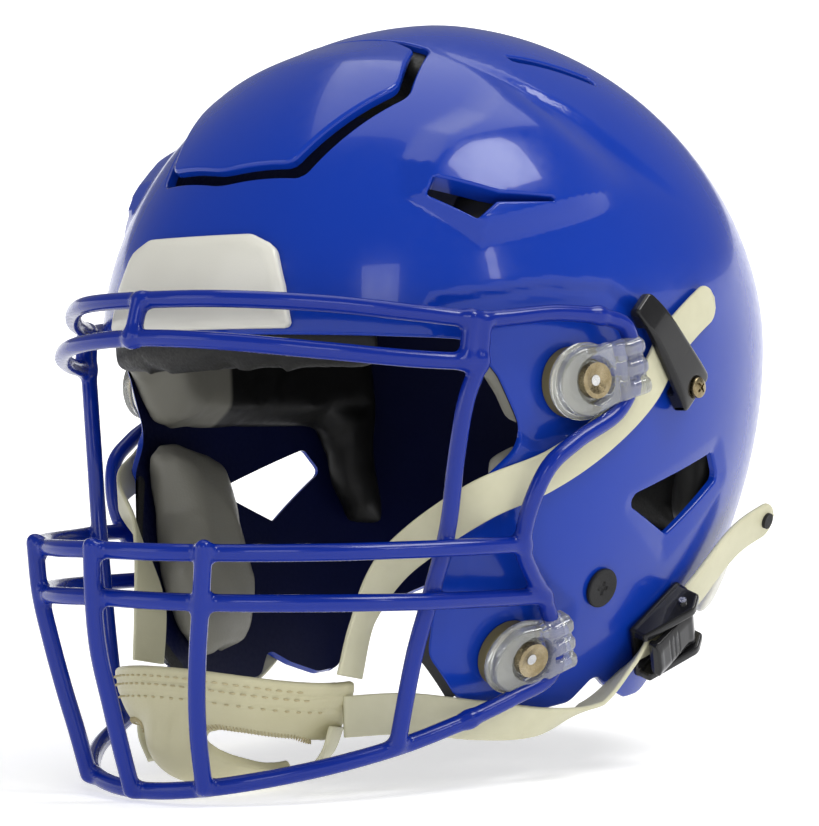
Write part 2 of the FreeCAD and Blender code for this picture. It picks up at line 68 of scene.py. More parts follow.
# ---- driving dimensions ----------------------------------------------------------------------
SHELL_HIGH = np.array(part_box("shell")[1]) * 1000.0
HALF_WIDTH = float(SHELL_HIGH[0])
CROWN_Z = float(SHELL_HIGH[2])
CENTRE_Y = 10.0                              # widest station
REAR_REACH = 144.0                           # from there to the back
FRONT_REACH = 148.0                          # and to the front
ORIGIN_SHIFT = float(SHELL_HIGH[1]) - (CENTRE_Y + REAR_REACH)
BELT_Z = 164.0                               # level of the widest outline
CROWN_RISE = CROWN_Z - BELT_Z
CROWN_POWER = 1.92                           # squareness of the crown and of the plan
PLAN_POWER = 2.24
JAW_TAPER = 0.15                             # share lost 100 mm below the belt
NAPE_TAPER = 0.26
SHELL_T = 4.0                                # shell wall
PAD_GAP = 1.2                                # shell to liner
PAD_T = 20.0                                 # liner thickness
WIRE_R = 3.15                                # coated mask wire
HEART = np.array([0.0, CENTRE_Y, 140.0])     # the form is star-shaped about this point
MIRROR = np.array([-1.0, 1.0, 1.0])
EDGE_R = 1.1                                 # rounding along the shell's cut edges
FAR_OUTSIDE = -50.0                          # depth where an outline doesn't apply


def to_metres(points):
    """Head coordinates in millimetres to the frame's metres."""
    return (np.asarray(points, float) + np.array([0.0, ORIGIN_SHIFT, 0.0])) * 0.001


def smoothstep(low, high, value):
    """0 below low, 1 above high, smooth between."""
    t = np.clip((value - low) / (high - low), 0.0, 1.0)
    return t * t * (3.0 - 2.0 * t)


# ---- the shell's form ------------------------------------------------------------------------
def form_level(points):
    """Zero on the form, negative inside."""
    x, y, z = points[..., 0], points[..., 1], points[..., 2]
    drop = np.maximum(BELT_Z - z, 0.0) / 100.0
    half = HALF_WIDTH * (1.0 - JAW_TAPER * drop ** 2)
    rear = REAR_REACH * (1.0 - NAPE_TAPER * drop ** 2)
    along = y - CENTRE_Y
    reach = np.where(along > 0, rear, FRONT_REACH)
    plan = (np.abs(x / half) ** PLAN_POWER + np.abs(along / reach) ** PLAN_POWER) ** (1 / PLAN_POWER)
    rise = np.maximum(z - BELT_Z, 0.0) / CROWN_RISE
    return (plan ** CROWN_POWER + rise ** CROWN_POWER) ** (1 / CROWN_POWER) - 1.0


def steepest(level_of, points, step):
    """Unit direction in which a field grows."""
    grad = np.empty_like(points)
    for axis in range(3):
        shift = np.zeros(3)
        shift[axis] = step
        grad[..., axis] = level_of(points + shift) - level_of(points - shift)
    return grad / np.linalg.norm(grad, axis=-1, keepdims=True)


def form_normal(points):
    return steepest(form_level, points, 0.05)


def form_hit(directions):
    """Points of the form along unit directions from its heart."""
    near = np.full(len(directions), 20.0)
    far = np.full(len(directions), 260.0)
    for _ in range(36):
        middle = (near + far) / 2
        inside = form_level(HEART + directions * middle[:, None]) < 0
        near = np.where(inside, middle, near)
        far = np.where(inside, far, middle)
    return HEART + directions * ((near + far) / 2)[:, None]


def side_x(y, z):
    """X of the form's left side at (y, z)."""
    low, high = 0.0, 130.0
    for _ in range(40):
        middle = (low + high) / 2
        if form_level(np.array([middle, y, z])) < 0:
            low = middle
        else:
            high = middle
    return low


def side_frame(y, z, lean=0.0):
    """Origin and axes at the form's left side: rearwards, over, outwards."""
    origin = np.array([side_x(y, z), y, z])
    outward = form_normal(origin)
    up = np.array([0.0, 0.0, 1.0])
    along = np.cross(up, outward)
    along = along / np.linalg.norm(along)
    if along[1] < 0:
        along = -along
    over = np.cross(outward, along)
    c, s = math.cos(math.radians(lean)), math.sin(math.radians(lean))
    rear = along * c + over * s
    return origin, rear, np.cross(outward, rear), outward


# ---- outlines --------------------------------------------------------------------------------
def rounded(points, radii):
    """Closed outline with rounded corners, as a dense polyline."""
    points = np.asarray(points, float)
    count = len(points)
    radii = radii if isinstance(radii, (list, tuple)) else [radii] * count
    out = []
    for i in range(count):
        here = points[i]
        to_prev = points[i - 1] - here
        to_next = points[(i + 1) % count] - here
        len_prev, len_next = np.linalg.norm(to_prev), np.linalg.norm(to_next)
        to_prev, to_next = to_prev / len_prev, to_next / len_next
        half_angle = math.acos(np.clip(np.dot(to_prev, to_next), -1, 1)) / 2
        cut = min(radii[i] / math.tan(half_angle), 0.48 * len_prev, 0.48 * len_next)
        radius = cut * math.tan(half_angle)
        middle = to_prev + to_next
        if np.linalg.norm(middle) < 1e-6 or radius < 0.05:
            out.append(here)
            continue
        centre = here + middle / np.linalg.norm(middle) * radius / math.sin(half_angle)
        start, stop = here + to_prev * cut - centre, here + to_next * cut - centre
        for t in np.linspace(0, 1, 7):
            ray = start * (1 - t) + stop * t
            out.append(centre + ray / np.linalg.norm(ray) * radius)
    return np.array(out)


def outline_depth(points, outline):
    """Signed distance in the plane, positive inside the outline."""
    best = np.full(len(points), 1e9)
    inside = np.zeros(len(points), bool)
    nxt = np.roll(outline, -1, axis=0)
    for a, b in zip(outline, nxt):
        edge = b - a
        rel = points - a
        t = np.clip((rel @ edge) / max(edge @ edge, 1e-9), 0, 1)
        best = np.minimum(best, np.sum((rel - t[:, None] * edge) ** 2, axis=1))
        crosses = (a[1] > points[:, 1]) != (b[1] > points[:, 1])
        rise = edge[1] if abs(edge[1]) > 1e-9 else 1e-9
        inside ^= crosses & (points[:, 0] < edge[0] * (points[:, 1] - a[1]) / rise + a[0])
    return np.where(inside, 1.0, -1.0) * np.sqrt(best)


# ---- meshes ----------------------------------------------------------------------------------
def put(name, shape, material, body="helmet", node=None):
    """Object from (points, faces, normals), riding on a body and standing for a CAD node."""
    points, faces, normals = shape
    mesh = bpy.data.meshes.new(name)
    mesh.from_pydata(to_metres(points).tolist(), [], [tuple(int(i) for i in f) for f in faces])
    mesh.update()
    mesh.materials.append(material)
    mesh.shade_smooth()
    if normals is not None:
        mesh.normals_split_custom_set_from_vertices(np.asarray(normals).tolist())
    piece = bpy.data.objects.new(name, mesh)
    bpy.context.scene.collection.objects.link(piece)
    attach(piece, body)
    if node is not None:
        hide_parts(*([node] if isinstance(node, str) else node))
    return piece


def flipped(shape):
    """The same shape on the wearer's right."""
    points, faces, normals = shape
    turned = [tuple(reversed(tuple(f))) for f in faces]
    return np.asarray(points) * MIRROR, turned, None if normals is None else normals * MIRROR


def put_pair(name, shape, material, body="helmet", node=None):
    """A left piece and its mirror image; names, nodes and moving bodies end in _left and _right."""
    pair = []
    for side, version in (("left", shape), ("right", flipped(shape))):
        moving = body if body == "helmet" else body + "_" + side
        stands_for = None if node is None else node + "_" + side
        pair.append(put(name + "_" + side, version, material, moving, stands_for))
    return pair


def joined(shapes):
    """Several shapes as one."""
    points, faces, normals = [], [], []
    base = 0
    for some_points, some_faces, some_normals in shapes:
        points.append(some_points)
        faces += [tuple(int(i) + base for i in f) for f in some_faces]
        normals.append(some_normals)
        base += len(some_points)
    whole = None if normals[0] is None else np.concatenate(normals)
    return np.concatenate(points), faces, whole


SKIN_LEVEL, PAD_LEVEL = 7, 6                 # subdivisions of the form's mesh
_ball_cache = {}


def form_skin(level):
    """Even triangle mesh of the whole form."""
    if level not in _ball_cache:
        ball = bmesh.new()
        bmesh.ops.create_icosphere(ball, subdivisions=level, radius=1.0)
        directions = np.array([v.co[:] for v in ball.verts])
        faces = np.array([[v.index for v in f.verts] for f in ball.faces])
        ball.free()
        directions = directions / np.linalg.norm(directions, axis=1, keepdims=True)
        _ball_cache[level] = (form_hit(directions), faces)
    points, faces = _ball_cache[level]
    return points.copy(), faces.copy()


def slice_mesh(points, faces, value_of, level):
    """Split the triangles that cross value_of(points) == level, so an edge runs along it."""
    values = value_of(points) - level
    values[np.abs(values) < 0.03] = 0.0
    sign = np.sign(values)
    tri = sign[faces]
    crossing = (tri.min(axis=1) < 0) & (tri.max(axis=1) > 0)
    keep = faces[~crossing]
    cut = faces[crossing]
    if len(cut) == 0:
        return points, faces
    tri = sign[cut]
    zeros = (tri == 0).sum(axis=1)
    lone = np.zeros(len(cut), int)
    positives = (tri > 0).sum(axis=1)
    odd_sign = np.where(positives == 1, 1, -1)
    for k in range(3):
        lone = np.where((zeros == 0) & (tri[:, k] == odd_sign), k, lone)
        lone = np.where((zeros == 1) & (tri[:, k] == 0), k, lone)
    rows = np.arange(len(cut))
    a, b, c = (cut[rows, (lone + k) % 3] for k in range(3))
    one = zeros == 1
    edges = np.concatenate([np.stack([b[one], c[one]], 1), np.stack([a[~one], b[~one]], 1),
                            np.stack([a[~one], c[~one]], 1)])
    edges = np.sort(edges, axis=1)
    unique, inverse = np.unique(edges, axis=0, return_inverse=True)
    inverse = inverse.ravel()
    v0, v1 = values[unique[:, 0]], values[unique[:, 1]]
    t = (v0 / (v0 - v1))[:, None]
    fresh = points[unique[:, 0]] * (1 - t) + points[unique[:, 1]] * t
    ids = inverse + len(points)
    n1, n2 = one.sum(), (~one).sum()
    mid = ids[:n1]
    ab, ac = ids[n1:n1 + n2], ids[n1 + n2:]
    new_faces = [keep,
                 np.stack([a[one], b[one], mid], 1), np.stack([a[one], mid, c[one]], 1),
                 np.stack([a[~one], ab, ac], 1), np.stack([ab, b[~one], c[~one]], 1),
                 np.stack([ab, c[~one], ac], 1)]
    return np.concatenate([points, fresh]), np.concatenate(new_faces)


def compact(points, faces):
    """Only the points that the faces use."""
    used = np.unique(faces)
    index = np.full(len(points), -1)
    index[used] = np.arange(len(used))
    return points[used], index[faces]


def border(faces, count):
    """Directed edges that only one triangle has."""
    directed = np.concatenate([faces[:, [0, 1]], faces[:, [1, 2]], faces[:, [2, 0]]])
    keys = directed[:, 0] * (count + 1) + directed[:, 1]
    back = directed[:, 1] * (count + 1) + directed[:, 0]
    return directed[~np.isin(keys, back)]


def edge_drop(depth, radius):
    """How far a rounded edge falls away near the rim."""
    rest = np.clip(radius - depth, 0.0, radius)
    return radius - np.sqrt(np.maximum(radius ** 2 - rest ** 2, 0.0))


def moulding(depth_of, height_of, thickness, edge_radius=EDGE_R, creases=()):
    """Closed shell piece laid over the form.

    depth_of(points) is positive inside the piece's outline; height_of(points) lifts the outer
    face; creases are (value_of, levels) lines along which the mesh is split."""
    points, faces = form_skin(SKIN_LEVEL)
    depth = depth_of(points)
    faces = faces[(depth[faces] > -0.5).any(axis=1) | (np.abs(depth[faces]) < 6).any(axis=1)]
    points, faces = compact(points, faces)
    for value_of, levels in creases:
        for value in levels:
            points, faces = slice_mesh(points, faces, value_of, value)
    for share in (1.0, 0.62, 0.3, 0.08, 0.0):
        points, faces = slice_mesh(points, faces, depth_of, share * edge_radius)
    centre = points[faces].mean(axis=1)
    faces = faces[depth_of(centre) > 0]
    points, faces = compact(points, faces)
    depth = depth_of(points)

    def lifted(p):
        return p + form_normal(p) * height_of(p)[:, None]

    base_normal = form_normal(points)
    tangent = np.cross(base_normal, np.array([0.3, 0.5, 0.81]))
    tangent /= np.linalg.norm(tangent, axis=1, keepdims=True)
    other = np.cross(base_normal, tangent)
    step = 0.2
    ahead, behind = points + tangent * step, points - tangent * step
    left, right = points + other * step, points - other * step
    du = lifted(ahead) - lifted(behind)
    dv = lifted(left) - lifted(right)
    normal = np.cross(du, dv)
    normal /= np.linalg.norm(normal, axis=1, keepdims=True)
    flip = np.sum(normal * base_normal, axis=1) < 0
    normal[flip] *= -1
    grad = (tangent * (depth_of(ahead) - depth_of(behind))[:, None]
            + other * (depth_of(left) - depth_of(right))[:, None])
    out_dir = -grad / np.maximum(np.linalg.norm(grad, axis=1, keepdims=True), 1e-9)
    lean = np.clip((edge_radius - depth) / edge_radius, 0.0, 1.0)[:, None]
    normal = normal * np.sqrt(1 - lean ** 2) + out_dir * lean
    normal /= np.linalg.norm(normal, axis=1, keepdims=True)

    height = height_of(points)
    outer = points + base_normal * (height - edge_drop(depth, edge_radius))[:, None]
    inner = points - base_normal * thickness
    count = len(points)
    rim = border(faces, count)
    rim_points = np.unique(rim)
    slot = np.full(count, -1)
    slot[rim_points] = np.arange(len(rim_points))
    # the rim's own copies of the outer and inner border keep its shading apart
    top_id = 2 * count + slot
    low_id = 2 * count + len(rim_points) + slot
    all_points = np.concatenate([outer, inner, outer[rim_points], inner[rim_points]])
    all_normals = np.concatenate([normal, -base_normal, out_dir[rim_points], out_dir[rim_points]])
    quads = np.stack([top_id[rim[:, 1]], top_id[rim[:, 0]], low_id[rim[:, 0]], low_id[rim[:, 1]]], 1)
    all_faces = [tuple(f) for f in faces] + [tuple(f + count) for f in faces[:, ::-1]]
    all_faces += [tuple(q) for q in quads]
    return all_points, all_faces, all_normals


# ---- distance fields -------------------------------------------------------------------------
def smooth_min(a, b, blend):
    """Union of two fields with a fillet."""
    h = np.clip(0.5 + 0.5 * (b - a) / blend, 0.0, 1.0)
    return b * (1 - h) + a * h - blend * h * (1 - h)


def smooth_max(a, b, blend):
    """Intersection of two fields with a fillet."""
    return -smooth_min(-a, -b, blend)


def rounded_box(p, half, radius):
    """Distance from a box with rounded edges."""
    q = np.abs(p) - (np.asarray(half) - radius)
    return (np.linalg.norm(np.maximum(q, 0), axis=-1) + np.minimum(q.max(axis=-1), 0)) - radius


def cylinder_field(p, radius, low, high, rounding=0.3, axis=2):
    """Distance from a round-edged cylinder."""
    others = [k for k in range(3) if k != axis]
    radial = np.hypot(p[..., others[0]], p[..., others[1]]) - radius + rounding
    axial = np.abs(p[..., axis] - (low + high) / 2) - (high - low) / 2 + rounding
    return (np.minimum(np.maximum(radial, axial), 0)
            + np.hypot(np.maximum(radial, 0), np.maximum(axial, 0)) - rounding)


def chain_field(p, path, radius):
    """Distance from a round bar along a dense path."""
    flat = p.reshape(-1, 3)
    best = np.full(len(flat), 1e9)
    for a, b in zip(path[:-1], path[1:]):
        edge = b - a
        rel = flat - a
        t = np.clip((rel @ edge) / max(edge @ edge, 1e-9), 0, 1)
        best = np.minimum(best, np.einsum("ij,ij->i", rel - t[:, None] * edge, rel - t[:, None] * edge))
    return (np.sqrt(best) - radius).reshape(p.shape[:-1])


def net_mesh(field, low, step):
    """Quads along the zero level of a sampled field, with points and normals fitted to it."""
    inside = field < 0
    nx, ny, nz = field.shape
    corner = [(i, j, k) for i in (0, 1) for j in (0, 1) for k in (0, 1)]

    def block(array, i, j, k):
        return array[i:nx - 1 + i, j:ny - 1 + j, k:nz - 1 + k]

    count = sum(block(inside, *c).astype(np.int8) for c in corner)
    active = (count > 0) & (count < 8)
    cells = np.argwhere(active)
    number = np.full(active.shape, -1, int)
    number[active] = np.arange(len(cells))
    total = np.zeros((len(cells), 3))
    hits = np.zeros(len(cells))
    for axis in range(3):
        for u in (0, 1):
            for v in (0, 1):
                start = np.array([0, 0, 0])
                others = [k for k in range(3) if k != axis]
                start[others[0]], start[others[1]] = u, v
                stop = start.copy()
                stop[axis] = 1
                a = field[tuple((cells + start).T)]
                b = field[tuple((cells + stop).T)]
                crossed = (a < 0) != (b < 0)
                t = np.where(crossed, a / np.where(crossed, a - b, 1.0), 0.0)
                spot = start + np.outer(t, stop - start)
                total += spot * crossed[:, None]
                hits += crossed
    grid = cells + total / hits[:, None]

    def sample(array, at):
        base = np.clip(np.floor(at).astype(int), 0, np.array(array.shape[:3]) - 2)
        f = at - base
        out = 0
        for i, j, k in corner:
            w = (np.where(i, f[:, 0], 1 - f[:, 0]) * np.where(j, f[:, 1], 1 - f[:, 1])
                 * np.where(k, f[:, 2], 1 - f[:, 2]))
            out = out + w * array[base[:, 0] + i, base[:, 1] + j, base[:, 2] + k]
        return out

    def gradient(at):
        g = np.empty_like(at)
        for axis in range(3):
            shift = np.zeros(3)
            shift[axis] = 0.5
            g[:, axis] = sample(field, at + shift) - sample(field, at - shift)
        return g

    for _ in range(3):
        g = gradient(grid)
        value = sample(field, grid)
        grid = grid - g * (value / np.maximum(np.sum(g * g, axis=1), 1e-9))[:, None].clip(-0.5, 0.5)
    normals = gradient(grid)
    normals /= np.maximum(np.linalg.norm(normals, axis=1, keepdims=True), 1e-9)
    quads = []
    for axis in range(3):
        b, c = (axis + 1) % 3, (axis + 2) % 3
        size = [nx, ny, nz]
        lead = [slice(None)] * 3
        lead[axis] = slice(0, size[axis] - 1)
        lead[b] = slice(1, size[b] - 1)
        lead[c] = slice(1, size[c] - 1)
        trail = list(lead)
        trail[axis] = slice(1, size[axis])
        first, second = inside[tuple(lead)], inside[tuple(trail)]
        spots = np.argwhere(first != second)
        flags = first[tuple(spots.T)]
        spots = spots.copy()
        spots[:, b] += 1
        spots[:, c] += 1
        step_b, step_c = np.zeros(3, int), np.zeros(3, int)
        step_b[b], step_c[c] = 1, 1
        ring = [number[tuple((spots - step_b * i - step_c * j).T)]
                for i, j in ((1, 1), (0, 1), (0, 0), (1, 0))]
        quad = np.stack(ring, 1)
        quads.append(np.where(flags[:, None], quad, quad[:, ::-1]))
    quads = np.concatenate(quads)
    quads = quads[(quads >= 0).all(axis=1)]
    return low + grid * step, quads, normals


def field_shape(low, high, step, field_of, place=None):
    """Points, faces and normals of a distance field given in local or head coordinates."""
    low, high = np.asarray(low, float), np.asarray(high, float)
    axes = [np.arange(low[k], high[k] + step, step) for k in range(3)]
    grid = np.stack(np.meshgrid(*axes, indexing="ij"), axis=-1)
    points, quads, normals = net_mesh(field_of(grid), low, step)
    if place is not None:
        origin, rear, over, outward = place
        axes_matrix = np.stack([rear, over, outward])
        points = origin + points @ axes_matrix
        normals = normals @ axes_matrix
    return points, quads, normals


# ---- paths -----------------------------------------------------------------------------------
def smooth_path(points, spacing=2.5):
    """Centripetal curve through the points, sampled evenly."""
    points = np.asarray(points, float)
    padded = np.concatenate([[2 * points[0] - points[1]], points, [2 * points[-1] - points[-2]]])
    out = []
    for i in range(1, len(padded) - 2):
        p0, p1, p2, p3 = padded[i - 1:i + 3]
        k0 = 0.0
        k1 = k0 + math.sqrt(np.linalg.norm(p1 - p0))
        k2 = k1 + math.sqrt(np.linalg.norm(p2 - p1))
        k3 = k2 + math.sqrt(np.linalg.norm(p3 - p2))
        pieces = max(2, int(np.linalg.norm(p2 - p1) / spacing))
        for t in np.linspace(k1, k2, pieces, endpoint=False):
            a1 = (k1 - t) / (k1 - k0) * p0 + (t - k0) / (k1 - k0) * p1
            a2 = (k2 - t) / (k2 - k1) * p1 + (t - k1) / (k2 - k1) * p2
            a3 = (k3 - t) / (k3 - k2) * p2 + (t - k2) / (k3 - k2) * p3
            b1 = (k2 - t) / (k2 - k0) * a1 + (t - k0) / (k2 - k0) * a2
            b2 = (k3 - t) / (k3 - k1) * a2 + (t - k1) / (k3 - k1) * a3
            out.append((k2 - t) / (k2 - k1) * b1 + (t - k1) / (k2 - k1) * b2)
    out.append(points[-1])
    return np.array(out)


def both_sides(half):
    """A bar from its left half, through the middle."""
    half = np.asarray(half, float)
    off_centre = half[half[:, 0] > 0][::-1] * MIRROR
    return np.concatenate([off_centre, half])


# ---- materials -------------------------------------------------------------------------------
def material(name, colour, roughness=0.4, metallic=0.0, coat=0.0, coat_roughness=0.05, sheen=0.0,
             transmission=0.0, ior=1.5, specular=0.5):
    """Principled material; returns it with its node tree and shader."""
    made = bpy.data.materials.new(name)
    made.use_nodes = True
    tree = made.node_tree
    shader = tree.nodes["Principled BSDF"]
    shader.inputs["Base Color"].default_value = (*colour, 1.0)
    shader.inputs["Roughness"].default_value = roughness
    shader.inputs["Metallic"].default_value = metallic
    shader.inputs["Coat Weight"].default_value = coat
    shader.inputs["Coat Roughness"].default_value = coat_roughness
    shader.inputs["Sheen Weight"].default_value = sheen
    shader.inputs["Transmission Weight"].default_value = transmission
    shader.inputs["IOR"].default_value = ior
    shader.inputs["Specular IOR Level"].default_value = specular
    return made, tree, shader


def node(tree, kind, **values):
    """Shader node; values name its inputs or its settings."""
    made = tree.nodes.new(kind)
    for key, value in values.items():
        if key in made.inputs:
            made.inputs[key].default_value = value
        else:
            setattr(made, key, value)
    return made


def noise(tree, scale, detail=3.0, roughness=0.5):
    """Noise over the object's own coordinates."""
    where = node(tree, "ShaderNodeTexCoord")
    made = node(tree, "ShaderNodeTexNoise", Scale=scale, Detail=detail, Roughness=roughness)
    tree.links.new(where.outputs["Object"], made.inputs["Vector"])
    return made.outputs["Fac"]


def spread(tree, factor, low, high, from_low=0.3, from_high=0.7):
    """Factor mapped from one range to another."""
    made = node(tree, "ShaderNodeMapRange")
    for key, value in (("From Min", from_low), ("From Max", from_high), ("To Min", low), ("To Max", high)):
        made.inputs[key].default_value = value
    tree.links.new(factor, made.inputs["Value"])
    return made.outputs["Result"]


def tint(tree, factor, first, second):
    """Mix of two colours."""
    made = node(tree, "ShaderNodeMix", data_type="RGBA")
    made.inputs[6].default_value = (*first, 1.0)
    made.inputs[7].default_value = (*second, 1.0)
    tree.links.new(factor, made.inputs[0])
    return made.outputs[2]


def bump(tree, height, strength, distance, under=None):
    made = node(tree, "ShaderNodeBump", Strength=strength, Distance=distance)
    tree.links.new(height, made.inputs["Height"])
    if under is not None:
        tree.links.new(under, made.inputs["Normal"])
    return made.outputs["Normal"]


def gloss_plastic(name, dark, light, roughness=0.22, ripple=0.00006, coat=0.3):
    """Moulded gloss: slight colour drift, orange-peel ripple, faint handling marks in the gloss."""
    made, tree, shader = material(name, dark, roughness, coat=coat, coat_roughness=0.035, ior=1.38,
                                  specular=0.3)
    shader.inputs["Coat IOR"].default_value = 1.42
    broad = noise(tree, 7.0, 2.0)
    tree.links.new(tint(tree, spread(tree, broad, 0.0, 1.0), dark, light), shader.inputs["Base Color"])
    fine = noise(tree, 260.0, 4.0, 0.6)
    tree.links.new(spread(tree, fine, roughness * 0.8, roughness * 1.35), shader.inputs["Roughness"])
    peel = noise(tree, 90.0, 2.0)
    normal = bump(tree, peel, 0.12, ripple * 10)
    tree.links.new(normal, shader.inputs["Normal"])
    return made


def grained(name, dark, light, roughness, grain_scale, depth, coat=0.0, sheen=0.0):
    """Satin plastic, vinyl or rubber with a fine grain."""
    made, tree, shader = material(name, dark, roughness, coat=coat, sheen=sheen, specular=0.25)
    broad = noise(tree, 14.0, 3.0)
    tree.links.new(tint(tree, spread(tree, broad, 0.0, 1.0), dark, light), shader.inputs["Base Color"])
    where = node(tree, "ShaderNodeTexCoord")
    cells = node(tree, "ShaderNodeTexVoronoi", Scale=grain_scale)
    tree.links.new(where.outputs["Object"], cells.inputs["Vector"])
    fine = noise(tree, grain_scale * 0.8, 3.0)
    gloss = spread(tree, fine, roughness * 0.8, min(1.0, roughness * 1.25))
    tree.links.new(gloss, shader.inputs["Roughness"])
    normal = bump(tree, cells.outputs["Distance"], 0.25, depth)
    tree.links.new(bump(tree, fine, 0.3, depth, normal), shader.inputs["Normal"])
    return made


def turned_metal(name, dark, light, roughness=0.3):
    """Plated metal with fine scratches and slight tarnish."""
    made, tree, shader = material(name, light, roughness, metallic=1.0)
    patches = noise(tree, 160.0, 4.0, 0.6)
    tree.links.new(tint(tree, spread(tree, patches, 0.0, 1.0), dark, light), shader.inputs["Base Color"])
    fine = noise(tree, 1400.0, 2.0)
    tree.links.new(spread(tree, fine, roughness * 0.7, roughness * 1.4), shader.inputs["Roughness"])
    tree.links.new(bump(tree, fine, 0.15, 0.0001), shader.inputs["Normal"])
    return made


def clear_plastic(name):
    """Clear moulded plastic, slightly clouded."""
    made, tree, shader = material(name, (0.88, 0.90, 0.87), 0.05, transmission=0.84, ior=1.44, coat=0.6)
    cloud = noise(tree, 60.0, 3.0)
    tree.links.new(spread(tree, cloud, 0.03, 0.12), shader.inputs["Roughness"])
    tree.links.new(bump(tree, cloud, 0.1, 0.0004), shader.inputs["Normal"])
    return made


def webbing(name, dark, light, ribs=950.0):
    """Coated webbing: fine ribs across its length, soiled a little."""
    made, tree, shader = material(name, light, 0.5, coat=0.15, coat_roughness=0.25)
    where = node(tree, "ShaderNodeUVMap")
    turn = node(tree, "ShaderNodeMapping")
    turn.inputs["Rotation"].default_value = (0.0, 0.0, math.radians(18))
    turn.inputs["Scale"].default_value = (ribs, ribs, 1.0)
    tree.links.new(where.outputs["UV"], turn.inputs["Vector"])
    waves = node(tree, "ShaderNodeTexWave", Scale=1.0, Distortion=0.6, Detail=1.0)
    tree.links.new(turn.outputs["Vector"], waves.inputs["Vector"])
    soil = noise(tree, 35.0, 4.0, 0.6)
    tree.links.new(tint(tree, spread(tree, soil, 0.0, 1.0), dark, light), shader.inputs["Base Color"])
    tree.links.new(bump(tree, waves.outputs["Fac"], 0.35, 0.0003), shader.inputs["Normal"])
    return made


def two_tone_vinyl(name, front, rear):
    """Vinyl cover, grey at the face and black further back, with a seam between."""
    made, tree, shader = material(name, front, 0.45, specular=0.25)
    where = node(tree, "ShaderNodeTexCoord")
    parts = node(tree, "ShaderNodeSeparateXYZ")
    tree.links.new(where.outputs["Object"], parts.inputs[0])
    behind = spread(tree, parts.outputs["Y"], 0.0, 1.0, -0.0085, -0.0055)
    over = spread(tree, parts.outputs["Z"], 0.0, 1.0, 0.176, 0.179)
    either = node(tree, "ShaderNodeMath", operation="MAXIMUM")
    tree.links.new(behind, either.inputs[0])
    tree.links.new(over, either.inputs[1])
    share = either.outputs[0]
    tree.links.new(tint(tree, share, front, rear), shader.inputs["Base Color"])
    creases = noise(tree, 180.0, 3.0)
    tree.links.new(spread(tree, creases, 0.36, 0.55), shader.inputs["Roughness"])
    tree.links.new(bump(tree, creases, 0.3, 0.0004), shader.inputs["Normal"])
    return made


SHELL_BLUE = gloss_plastic("shell_blue_gloss", (0.003, 0.030, 0.30), (0.004, 0.036, 0.34), 0.2)
# painted shade: the shell's inside is the same blue plastic, painted about ten times darker to stand for the
# shadow inside the helmet
SHELL_INSIDE_PAINTED_SHADE = grained("shell_inside_painted_shade", (0.001, 0.003, 0.03), (0.0012, 0.004, 0.045), 0.5, 700.0, 0.00005)
MASK_BLUE = gloss_plastic("mask_blue_powder_coat", (0.002, 0.016, 0.21), (0.0025, 0.020, 0.25), 0.2,
                          ripple=0.00001)
BUMPER_WHITE = grained("bumper_white_satin", (0.62, 0.61, 0.54),
                       (0.70, 0.69, 0.62), 0.38, 1500.0, 0.00006, coat=0.3)
BLACK_GLOSS = gloss_plastic("buckle_black_gloss", (0.008, 0.008, 0.009), (0.014, 0.014, 0.015), 0.2)
BLACK_RUBBER = grained("trim_black_rubber", (0.012, 0.012, 0.013), (0.02, 0.02, 0.02), 0.6, 2200.0, 0.00008)
OLIVE_RUBBER = grained("grommet_olive_rubber", (0.10, 0.085, 0.035),
                       (0.15, 0.125, 0.055), 0.5, 1800.0, 0.00008)
CLEAR = clear_plastic("clip_clear_plastic")
STEEL = turned_metal("pin_steel", (0.42, 0.42, 0.42), (0.62, 0.62, 0.61), 0.28)
BRASS = turned_metal("post_plated_brass", (0.20, 0.155, 0.08), (0.36, 0.30, 0.19), 0.3)
WHITE_WEB = webbing("strap_white_webbing", (0.53, 0.51, 0.34), (0.62, 0.60, 0.42))
CREAM_CUP = grained("cup_cream_leather", (0.47, 0.44, 0.27),
                    (0.54, 0.51, 0.33), 0.42, 900.0, 0.00014, coat=0.12)
CREAM_THREAD = grained("cup_thread", (0.42, 0.36, 0.2), (0.5, 0.44, 0.27), 0.75, 3000.0, 0.0001)
GREY_VINYL = grained("pad_grey_vinyl", (0.20, 0.195, 0.165),
                     (0.25, 0.245, 0.21), 0.42, 1100.0, 0.00015, coat=0.1)
SIDE_VINYL = two_tone_vinyl("pad_side_vinyl", (0.2, 0.195, 0.165), (0.006, 0.006, 0.006))
BLACK_VINYL = grained("pad_black_vinyl", (0.006, 0.006, 0.006), (0.010, 0.010, 0.009), 0.5, 1100.0, 0.00015)


# ---- shell -----------------------------------------------------------------------------------
SHELL_EDGE = rounded(
    [(-170, 166.5), (-88, 163), (-77, 150), (-65, 127), (-79, 113), (-87, 88), (-90, 66), (-88, 48),
     (-73, 32), (-60, 27), (-42, 24), (-16, 27), (-6, 37), (5, 31), (20, 26), (32, 27), (41, 38),
     (72, 55), (100, 66), (170, 70), (170, 310), (-170, 310)],
    [1, 10, 15, 12, 12, 12, 15, 12, 12, 12, 15, 8, 5, 8, 8, 8, 12, 20, 20, 1, 1, 1])


def doubled(half, front):
    """Outline symmetrical about the middle, from its left half."""
    right = [(-x, s) for x, s in reversed(half)]
    return [(0, front)] + half + right


